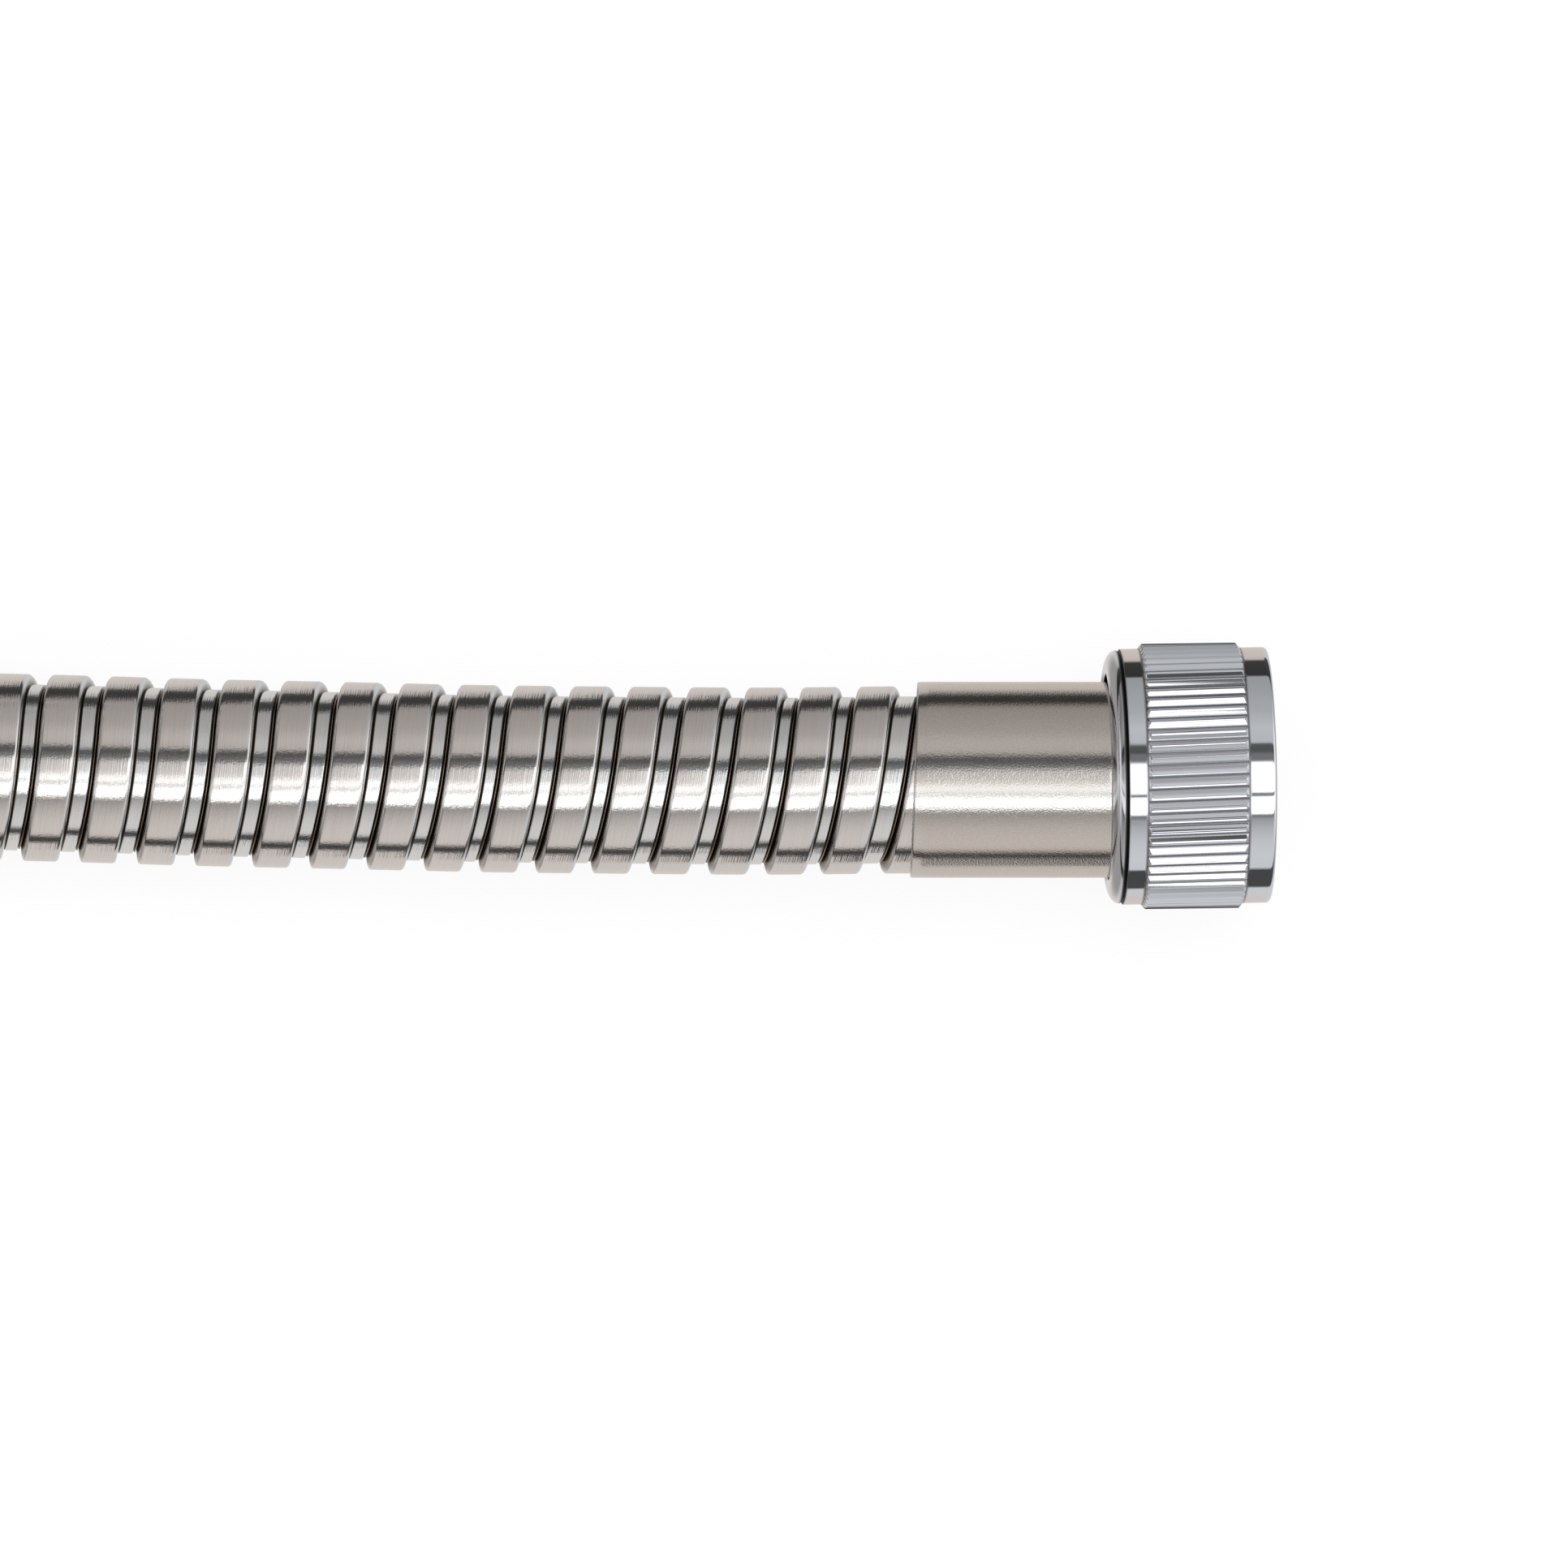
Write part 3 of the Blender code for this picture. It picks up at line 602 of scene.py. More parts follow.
@dataclass
class ArmourStrip:
    """The hose's spiral armour: one strip whose section has a crest, a wall, a valley and a seam.

    A point of column j at turn t lies round the hose at the angle t, from its right side over the top as
    seen from the sleeve, and at the length S(t) less the column's offset. S(t) is the crest's middle and
    grows by one pitch a turn. The columns up to the wall's foot hang on their own crest and the others on
    the crest before it, so a crest keeps its width where the pitch changes.
    """

    route: HoseRoute = field(default_factory=HoseRoute)
    line: Centreline = field(init=False)
    entry: float = 0.0009
    fine_length: float = 0.094
    fine_steps: int = 84
    coarse_steps: int = 20
    pitch: float = 0.0053
    mouth_pitch: float = 0.0058
    side_lean: tuple[float, float] = (0.00045, -0.00017)
    lean_ends: tuple[float, float] = (0.012, 0.084)
    bulge: tuple[float, float] = (0.00048, 0.00072)
    bulge_ends: tuple[float, float] = (0.012, 0.040)
    drift_ends: tuple[float, float] = (0.074, 0.118)
    turns_to_u: float = 7.5
    spare_turns: int = 3

    # (offset towards the sleeve, radius) in mm of the section's points. The first list hangs on its own
    # crest, the second on the crest nearer the sleeve.
    own = (
        (-2.07, 7.50), (-1.98, 7.54), (-1.94, 7.05), (-1.84, 7.10), (-1.80, 7.55), (-1.74, 8.10),
        (-1.66, 8.42), (-1.56, 8.55), (-1.44, 8.595), (-1.30, 8.60), (0.00, 8.60), (1.22, 8.60),
        (1.36, 8.59), (1.48, 8.54), (1.58, 8.45), (1.64, 8.33), (1.67, 8.18), (1.71, 7.80), (1.73, 7.56),
        (1.77, 7.46), (1.83, 7.50), (1.87, 7.62), (1.93, 7.66), (1.99, 7.66),
    )
    following = ((-2.70, 7.66), (-2.34, 7.66), (-2.28, 7.66), (-2.24, 7.62), (-2.20, 7.10), (-2.12, 7.05))
    # The columns that the coarse stretch keeps, and the columns at which the section's features lie
    coarse_columns = (1, 3, 4, 6, 9, 11, 14, 16, 19, 22, 26, 28)
    features = {
        "start": 0, "lip": 1, "gap": 2, "slope": 4, "slope_mid": 5, "crest": 6, "fillet": 15, "foot": 17,
        "foot_gap": 19, "valley": 22, "valley_end": 26, "seam": 28, "seam_end": 29, "end": 30,
    }
    # The lengths in mm at which the turns next to the sleeve face upwards: they don't lie quite evenly
    turn_places = (
        5.08, 10.12, 15.23, 20.59, 26.05, 31.28, 36.50, 41.57, 46.87, 52.27, 57.60, 62.99, 68.29, 73.66,
        79.04, 84.30,
    )

    def __post_init__(self) -> None:
        """Works out the centreline."""
        self.line = Centreline(self.route.centreline())

    @classmethod
    def across(cls) -> Array:
        """How far across the strip each column lies, from 0 to 1, measured along the section."""
        pitch = cls.pitch / MM
        after = ((x + pitch, r) for x, r in (*cls.following, cls.own[0]))
        section = np.array((*cls.own, *after))
        run = np.concatenate(((0.0,), np.cumsum(np.linalg.norm(np.diff(section, axis=0), axis=1))))
        return run / run[-1]

    @classmethod
    def marks(cls) -> dict[str, float]:
        """Where the section's features lie across the strip."""
        across = cls.across()
        return {name: float(across[column]) for name, column in cls.features.items()}

    def crest_length(self, turn: Array) -> Array:
        """The length along the hose of a crest's middle at this turn of the strip.

        A Catmull-Rom curve through the places at which the first turns face upwards, a quarter turn after
        the angle 0, and an even pitch on both sides of them.
        """
        place = np.array(self.turn_places) * MM
        held = np.concatenate((place[:1] - self.pitch, place, place[-1:] + self.pitch))
        position = turn - 0.25
        inside = np.clip(position, 0.0, len(place) - 1.0)
        i = np.minimum(inside.astype(int), len(place) - 2)
        t = inside - i
        curve = catmull_rom(held[i], held[i + 1], held[i + 2], held[i + 3], t)
        beyond = position - inside
        return curve + np.where(beyond < 0, self.mouth_pitch, self.pitch) * beyond

    def drift(self, length: Array, angle: Array) -> Array:
        """How far the strip strays towards the sleeve from an even helix.

        It leans with the cosine of the angle, from one side of the hose to the other, and it bulges with the
        squared sine over the top. Both differ along the hose, and fade out where it leaves the view.
        """
        lean = self.side_lean[0] + (self.side_lean[1] - self.side_lean[0]) * ramp(length, *self.lean_ends)
        bulge = self.bulge[0] + (self.bulge[1] - self.bulge[0]) * ramp(length, *self.bulge_ends)
        over = np.maximum(np.sin(angle), 0.0) ** 2
        return (lean * np.cos(angle) + bulge * over) * (1.0 - ramp(length, *self.drift_ends))

    def stretch(self, ends: tuple[float, float], steps: int, fine: bool) -> tuple[Array, Array, Array]:
        """One stretch of the armour, closed at both ends by flat discs.

        Args:
            ends: The lengths at which it starts and ends.
            steps: Steps to a turn.
            fine: Whether it takes the fine section.

        Returns:
            The points, the three-sided faces, and the faces' surface coordinates.
        """
        section = np.array((*self.own, *self.following)) * MM
        columns = np.arange(len(section)) if fine else np.array(self.coarse_columns)
        hung = columns >= len(self.own)
        own_section, next_section = section[columns[~hung]], section[columns[hung]]
        first, last = ((end - self.turn_places[0] * MM) / self.pitch for end in ends)
        begin, finish = math.floor(first) - self.spare_turns, math.ceil(last) + self.spare_turns + 1
        rows = (finish - begin) * steps
        row = np.arange(rows)
        turn = begin + row[:, None] / steps
        own_along = self.crest_length(turn) - own_section[:, 0]
        along = np.hstack((own_along, self.crest_length(turn - 1) - next_section[:, 0]))
        radius = np.broadcast_to(np.concatenate((own_section[:, 1], next_section[:, 1])), along.shape)
        width = along.shape[1]

        # A point past an end moves to the end's own ring, where all points of one angle become one. The ring
        # follows the surface there: it is read from the points of its angle, whose length falls by column.
        number = row[:, None] * width + np.arange(width)
        ring = rows * width + row[:, None] % steps
        number = np.where(along < ends[0], ring, np.where(along > ends[1], ring + steps, number))
        angle = FULL_TURN * (np.arange(steps) / steps)
        places = [self._places(along, radius, np.broadcast_to(FULL_TURN * turn, along.shape)).reshape(-1, 3)]
        met = [(along[m::steps, ::-1].ravel(), radius[m::steps, ::-1].ravel()) for m in range(steps)]
        for end in ends:
            surface = np.array([np.interp(end, *line) for line in met])
            places.append(self._places(np.full(steps, end), surface, angle))
        middle = self._places(np.array(ends), np.zeros(2), np.zeros(2))
        points = np.vstack((*places, middle))

        # The quads between two rows, and those that close the strip on its own next turn
        i, j = np.arange(rows - 1)[:, None], np.arange(width - 1)
        inner = np.stack((number[i, j], number[i + 1, j], number[i + 1, j + 1], number[i, j + 1]), -1)
        k = np.arange(steps, rows - 1)
        wrap = (number[k, -1], number[k + 1, -1], number[k + 1 - steps, 0], number[k - steps, 0])
        across = self.across()[columns]
        u = turn[:, 0] * self.turns_to_u
        i, j = np.broadcast_arrays(i, j)
        v, v_next, edge, one = across[j], across[j + 1], np.full(len(k), across[-1]), np.ones(len(k))
        inner_uv = np.stack((u[i], v, u[i + 1], v, u[i + 1], v_next, u[i], v_next), -1)
        wrap_uv = np.stack((u[k], edge, u[k + 1], edge, u[k + 1], one, u[k], one), -1)
        quads = np.vstack((inner.reshape(-1, 4), np.stack(wrap, -1)))
        quad_uv = np.vstack((inner_uv.reshape(-1, 8), wrap_uv)).reshape(-1, 4, 2)
        faces = np.vstack((quads[:, (0, 1, 2)], quads[:, (0, 2, 3)]))
        uv = np.concatenate((quad_uv[:, (0, 1, 2)], quad_uv[:, (0, 2, 3)]))
        whole = (faces[:, 0] != faces[:, 1]) & (faces[:, 1] != faces[:, 2]) & (faces[:, 2] != faces[:, 0])
        faces, uv = faces[whole], uv[whole]

        near = rows * width + np.arange(steps)
        far, middle = near + steps, np.full(steps, rows * width + 2 * steps)
        near_disc = np.stack((near, np.roll(near, -1), middle), -1)
        far_disc = np.stack((np.roll(far, -1), far, middle + 1), -1)
        faces = np.vstack((faces, near_disc, far_disc))
        uv = np.concatenate((uv, np.zeros((2 * steps, 3, 2))))
        used, faces = np.unique(faces, return_inverse=True)
        return points[used], faces.reshape(-1, 3), uv

    def _places(self, along: Array, radius: Array, angle: Array) -> Array:
        """Places round the centreline: the angle 0 is the near run's +Y side, and a quarter turn is up."""
        along = along - self.drift(along, angle)
        _, side, up = self.line.frames(along)
        out = up * np.sin(angle)[..., None] - side * np.cos(angle)[..., None]
        return self.line.at(along) + out * radius[..., None]

    def build(self) -> bpy.types.Object:
        """Makes the armour and dresses it."""
        near, far = -self.entry, self.line.length() + self.entry
        fine = self.stretch((near, self.fine_length), self.fine_steps, fine=True)
        coarse = self.stretch((self.fine_length, far), self.coarse_steps, fine=False)
        points = np.vstack((fine[0], coarse[0]))
        faces = np.vstack((fine[1], coarse[1] + len(fine[0])))
        strip = mesh_object("spiral_armour", points, faces, np.concatenate((fine[2], coarse[2])), sharp=60.0)
        dress(strip, ArmourFinish().make(), Body.HOSE, Slot.ARMOUR, "hose_run", "hose_coil", "hose_top_run")
        return strip


def dress(
    piece: bpy.types.Object, material: bpy.types.Material, body: Body, slot: Slot, *nodes: str,
) -> None:
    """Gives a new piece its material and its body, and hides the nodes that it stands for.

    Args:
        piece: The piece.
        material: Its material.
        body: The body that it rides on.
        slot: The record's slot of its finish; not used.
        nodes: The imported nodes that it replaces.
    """
    piece.data.materials.append(material)
    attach(piece, body.value)
    if nodes:
        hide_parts(*nodes)
    LOG.info("%s rides on %s, %d faces", piece.name, body.value, len(piece.data.polygons))


@dataclass(frozen=True)
class PipeThread:
    """The G1/2 inside thread: rounded V grooves on a right-handed helix.

    The radius at an angle a and a height z is the minor radius plus the depth times a rounded triangle wave
    of z / pitch - a / full turn.
    """

    minor_radius: float = 0.00932
    depth: float = 0.00116
    pitch: float = 0.001814
    columns_per_pitch: int = 14

    def radii(self, angle: Array, height: Array, share: Array) -> Array:
        """The bore's radius at each angle and height; share fades the groove in and out."""
        phase = (height / self.pitch - angle / FULL_TURN) % 1.0
        wave = np.clip((1.0 - np.abs(2.0 * phase - 1.0)) * 1.18 - 0.09, 0.0, 1.0)
        return self.minor_radius + self.depth * share * (0.5 - 0.5 * np.cos(math.pi * wave)) ** 0.9


@dataclass(frozen=True)
class NutInside:
    """The inside that both nuts share: rear bore, web, threaded chamber and entry chamfer."""

    length: float = 0.0149
    rear_bore: float = 0.00955
    rear_depth: float = 0.0022
    web: float = 0.0014
    web_bore: float = 0.0070
    entry_radius: float = 0.0106
    entry_depth: float = 0.0010
    corner: float = 0.0002
    run_in: float = 0.0012
    thread: PipeThread = PipeThread()

    def rows(self, angle: Array) -> tuple[Array, Array]:
        """The bore from the back face to the front, at these angles.

        Args:
            angle: (n, 1) angles.

        Returns:
            (n, m) radii and heights.
        """
        front, cut, root = self.rear_depth + self.web, self.corner, self.thread.minor_radius
        fixed = np.array((
            (self.rear_bore + cut, 0.0), (self.rear_bore, cut), (self.rear_bore, self.rear_depth - cut / 2),
            (self.rear_bore - cut / 2, self.rear_depth), (self.web_bore + cut, self.rear_depth),
            (self.web_bore, self.rear_depth + cut), (self.web_bore, front - cut),
            (self.web_bore + cut, front), (root - cut / 2, front),
        ))
        start, stop = front + 2 * cut, self.length - cut / 2
        count = round((stop - start) / self.thread.pitch * self.thread.columns_per_pitch)
        z = np.linspace(start, stop, count)
        chamfer = self.entry_radius - (self.length - z) * (self.entry_radius - root) / self.entry_depth
        radii = np.maximum(self.thread.radii(angle, z, ramp(z, start, start + self.run_in)), chamfer)
        rear = np.broadcast_to(fixed[:, 0], (len(angle), len(fixed)))
        r = np.hstack((rear, radii, np.full((len(angle), 1), self.entry_radius)))
        return r, np.broadcast_to(np.concatenate((fixed[:, 1], z, (self.length,))), r.shape)


def ring_places(frame: FittingFrame, angle: Array, radius: Array, height: Array) -> Array:
    """Places (r cos a, r sin a, z) of a fitting, as an (n, m, 3) array in the part's frame."""
    local = np.stack((radius * np.cos(angle), radius * np.sin(angle), height + 0 * angle), axis=-1)
    return frame.place(local.reshape(-1, 3)).reshape(local.shape)


def stitched(outer: Array, inner: Array) -> tuple[Array, Array]:
    """One closed mesh of an outside and a bore whose end rings have different counts.

    Each bore segment meets as many outside segments as its share: they form a fan on the flat end faces.

    Args:
        outer: (n, m, 3) places, from the front face's bore edge, over the outside, to the back face's.
        inner: (n / k, p, 3) places, the bore from the back face to the front.

    Returns:
        The points and the three-sided faces.
    """
    many, width = outer.shape[:2]
    few, deep = inner.shape[:2]
    ratio = many // few
    out_quads = grid_quads(many, width, close_rows=True)[:, ::-1]
    in_quads = grid_quads(few, deep, close_rows=True)[:, ::-1] + many * width
    quads = np.vstack((out_quads, in_quads))
    faces = [quads[:, (0, 1, 2)], quads[:, (0, 2, 3)]]
    k = np.arange(few)
    for outer_column, inner_column, turn_over in ((0, deep - 1, False), (width - 1, 0, True)):
        inside = many * width + k * deep + inner_column
        inside_after = many * width + (k + 1) % few * deep + inner_column
        step = np.arange(many)
        outside, outside_after = step * width + outer_column, (step + 1) % many * width + outer_column
        fan = np.stack((inside[step // ratio], outside, outside_after), -1)
        link = np.stack((inside, (k + 1) * ratio % many * width + outer_column, inside_after), -1)
        ends = np.vstack((fan, link))
        faces.append(ends[:, ::-1] if turn_over else ends)
    return np.vstack((outer.reshape(-1, 3), inner.reshape(-1, 3))), np.vstack(faces)


@dataclass(frozen=True)
class KnurledNut:
    """The near nut: two plain rims, a straight-knurled band between them, and the nuts' common inside."""

    frame: FittingFrame
    inside: NutInside = NutInside()
    rim_radius: float = 0.01175
    lip_radius: float = 0.0098
    shoulder: float = 0.00105
    notch: float = 0.00012
    rear_rim_end: float = 0.0031
    front_rim_start: float = 0.0124
    front_round: float = 0.00035
    knurl_root: float = 0.01180
    chamfer: float = 0.00035
    lean: float = math.radians(1.6)
    ridges: int = 66
    # (share of the pitch from the crest, height over the root) of a ridge's half section
    half_ridge: tuple[tuple[float, float], ...] = (
        (0.0, 0.00040), (0.06, 0.00037), (0.16, 0.00028), (0.34, 0.00011), (0.44, 0.00002),
    )
    # (past the rim's radius, height over the shoulder) of the groove in front of the shoulder, and its
    # painted shade
    groove: tuple[tuple[float, float], ...] = ((0.0, 0.00036), (-0.00008, 0.00031), (-0.00024, 0.00018))
    groove_painted_shade: tuple[float, ...] = (0.3, 1.0, 1.0, 0.9, 0.2)
    bore_steps: int = 132
    corner: float = 0.0002
    back_edge: float = 0.00022
    # How high over the knurl's root the painted shade reaches, and how dark it is at the root
    painted_shade_height: float = 0.00009
    painted_shade_share: float = 0.75

    def outline(self) -> tuple[Array, Array, Array]:
        """The outside from the front face to the back.

        Returns:
            The columns' radii and heights, which columns are knurled, and how much painted shade each has.
        """
        length, rim, shoulder, cut = self.inside.length, self.rim_radius, self.shoulder, self.corner
        front, a = self.front_round, np.radians(np.linspace(90, 0, 6))
        edge = np.stack((rim - front + front * np.cos(a), length - front + front * np.sin(a)), -1)
        crest = self.knurl_root + self.half_ridge[0][1]
        t = np.linspace(0, 1, 5)
        head = np.stack((rim + (crest - rim) * t, self.front_rim_start - self.chamfer * t), -1)
        tail = np.stack((crest + (rim - crest) * t, self.rear_rim_end + self.chamfer * (1 - t)), -1)
        a = np.radians(np.linspace(0, -90, 14))
        low, depth = self.lip_radius, self.notch
        fillet = np.stack((low + (rim - depth - low) * np.cos(a), shoulder + shoulder * np.sin(a)), -1)
        groove = [(rim + aside, shoulder + up) for aside, up in self.groove]
        face = [(self.inside.entry_radius + cut / 2, length), (rim - front - cut, length)]
        front_rim = [(rim, length - front - cut), (rim, self.front_rim_start + cut)]
        rear_rim = [(rim, self.rear_rim_end - cut), (rim, shoulder + 2.5 * cut)]
        back = [(self.inside.rear_bore + self.back_edge, 0.0)]
        rows = (face, edge, front_rim, head, tail, rear_rim, groove, fillet, back)
        knurled = np.concatenate([np.full(len(r), r is head or r is tail) for r in rows])
        # Painted shade: a dark line in the groove in front of the shoulder, along the rear rim
        painted_shade = np.zeros(len(knurled))
        start = len(painted_shade) - len(back) - len(fillet) - len(groove)
        painted_shade[start : start + len(self.groove_painted_shade)] = self.groove_painted_shade
        return np.vstack([np.array(r) for r in rows]), knurled, painted_shade

    def build(self) -> bpy.types.Object:
        """Makes the nut and dresses it."""
        outline, knurled, groove_painted_shade = self.outline()
        share, height = np.array(self.half_ridge).T
        shares = np.concatenate((share, (0.5,), 1 - share[:0:-1]))
        heights = np.concatenate((height, (0.0,), height[:0:-1]))
        angle = ((np.arange(self.ridges)[:, None] + shares) / self.ridges * FULL_TURN).reshape(-1, 1)
        ridge = self.knurl_root + np.tile(heights, self.ridges)[:, None]
        radius = np.where(knurled, np.minimum(outline[:, 0], ridge), outline[:, 0])
        middle = (self.rear_rim_end + self.front_rim_start) / 2
        twist = (middle - outline[:, 1]) * math.tan(self.lean) / self.rim_radius
        outer = ring_places(self.frame, angle + twist, radius, np.broadcast_to(outline[:, 1], radius.shape))
        ratio = len(angle) // self.bore_steps
        inner = ring_places(self.frame, angle[::ratio], *self.inside.rows(angle[::ratio]))
        # Painted shade at the knurl's roots: the lower a knurled point lies, the darker it is
        low = np.clip(1.0 - (radius - self.knurl_root) / self.painted_shade_height, 0.0, 1.0) * self.painted_shade_share
        painted_shade = np.where(knurled, low, groove_painted_shade)
        painted_shade = np.concatenate((painted_shade.ravel(), np.zeros(inner.shape[0] * inner.shape[1])))
        nut = mesh_object("knurled_swivel_nut", *stitched(outer, inner), sharp=28.0, painted_shade=painted_shade)
        finish = MetalFinish(
            "knurled_chrome", CHROME, 0.05, grain_scale=9000.0, grain_height=0.0006, grain_tint=0.02,
            has_painted_shade=True,
        )
        dress(nut, finish.make(), Body.KNURLED_NUT, Slot.KNURLED_CHROME, "knurled_nut")
        return nut


@dataclass(frozen=True)
class HexNut:
    """The far nut: a hexagon whose corners are turned off by a cone at both ends, with the common inside."""

    frame: FittingFrame
    inside: NutInside = NutInside()
    across_flats: float = 0.024
    cone: float = math.radians(30)
    edge: float = 0.0003
    cone_start: float = 0.0002
    face_edge: float = 0.0006
    front_edge: float = 0.0001
    back_edge: float = 0.00022
    steps: int = 240

    def build(self) -> bpy.types.Object:
        """Makes the nut and dresses it.

        The radius at an angle is the hexagon's, with its six edges rounded; towards both ends it is no more
        than the cone's.
        """
        angle = np.linspace(0, FULL_TURN, self.steps, endpoint=False)[:, None]
        flat, length, slope = self.across_flats / 2, self.inside.length, math.tan(self.cone)
        point = flat / math.cos(math.pi / 6)
        off = (angle + math.pi / 6) % (math.pi / 3) - math.pi / 6
        hexagon = np.minimum(flat / np.cos(off), point - self.edge)
        z = (point - flat) * slope * np.linspace(0.0, 1.15, 9)
        cone = flat - self.cone_start + z / slope
        middle = np.linspace(length - z[-1], z[-1], 4)[1:-1]
        heights = np.concatenate(((length, length), length - z, middle, z[::-1], (0.0, 0.0)))
        turned = np.minimum(hexagon, np.concatenate((cone, np.full(2, point), cone[::-1])))
        inside, face = self.inside, flat - self.face_edge
        front, near, back = (
            np.full((self.steps, 1), radius)
            for radius in (inside.entry_radius + self.front_edge, face, inside.rear_bore + self.back_edge)
        )
        radius = np.hstack((front, near, turned, near, back))
        outer = ring_places(self.frame, angle, radius, np.broadcast_to(heights, radius.shape))
        inner = ring_places(self.frame, angle[::2], *self.inside.rows(angle[::2]))
        nut = mesh_object("hexagonal_swivel_nut", *stitched(outer, inner), sharp=28.0)
        finish = MetalFinish(
            "hexagon_chrome", CHROME, 0.06, grain_scale=7000.0, grain_height=0.0008, grain_tint=0.02,
        )
        dress(nut, finish.make(), Body.FAR_NUT, Slot.HEX_CHROME, "far_nut")
        return nut


@dataclass(frozen=True)
class Sleeve:
    """A drawn steel sleeve: rounded front, a plate closed round the tail's neck, and a rolled mouth."""

    frame: FittingFrame
    name: str
    node: str
    slant: float
    radius: float = 0.009
    bore: float = 0.0082
    mouth_bore: float = 0.00865
    mouth_depth: float = 0.005
    mouth: float = -SLEEVE_REACH
    front: float = 0.0011
    plate: float = 0.0008
    front_round: float = 0.0007
    roll: float = 0.00022
    neck_hole: float = 0.0065
    corner: float = 0.0002
    lean_reach: float = 0.002
    steps: int = 160

    def build(self) -> bpy.types.Object:
        """Makes the sleeve and dresses it.

        The mouth's columns lean with the slant: their height grows by x times the slant's tangent.
        """
        turn, half_turn = np.radians(np.linspace(90, 0, 8)), np.radians(np.linspace(0, -180, 9))
        radius, front, rounding, cut = self.radius, self.front, self.front_round, self.corner
        wall = (radius - self.mouth_bore) / 2
        edge = (radius + rounding * (np.cos(turn) - 1), front + rounding * (np.sin(turn) - 1))
        rolled = self.mouth + self.roll * (1 + np.sin(half_turn))
        roll = (self.mouth_bore + wall * (1 + np.cos(half_turn)), rolled)
        step, back = self.mouth + self.mouth_depth, front - self.plate
        outside = ((radius, front - rounding - cut), (radius, self.mouth + 6 * cut))
        inside = (
            (self.mouth_bore, step - cut / 2), (self.bore, step + 1.5 * cut), (self.bore, back - cut),
            (self.bore - cut, back), (self.neck_hole, back), (self.neck_hole, front - cut / 2),
            (self.neck_hole + cut / 2, front), (radius - rounding - cut, front),
        )
        r, z = np.vstack((np.stack(edge, -1), outside, np.stack(roll, -1), inside)).T
        angle = np.linspace(0, FULL_TURN, self.steps, endpoint=False)[:, None]
        radii = np.broadcast_to(r, (self.steps, len(r)))
        leaning = np.where(z < step - self.lean_reach, 1.0, 0.0)
        height = z + leaning * radii * np.cos(angle) * math.tan(self.slant)
        places = ring_places(self.frame, angle, radii, height)
        faces = grid_quads(self.steps, len(r), close_rows=True, close_columns=True)[:, ::-1]
        sleeve = mesh_object(self.name, places.reshape(-1, 3), faces, sharp=40.0)
        finish = MetalFinish(
            self.name + "_satin", (0.83, 0.80, 0.77), 0.12, gloss_drift=0.03, grain_scale=6200.0,
            grain_height=0.010, grain_tint=0.13, cloud_scale=300.0, fleck_scale=2600.0, fleck_amount=0.4,
            fleck_roughness=0.15,
        )
        dress(sleeve, finish.make(), Body.HOSE, Slot.SLEEVE, self.node)
        return sleeve


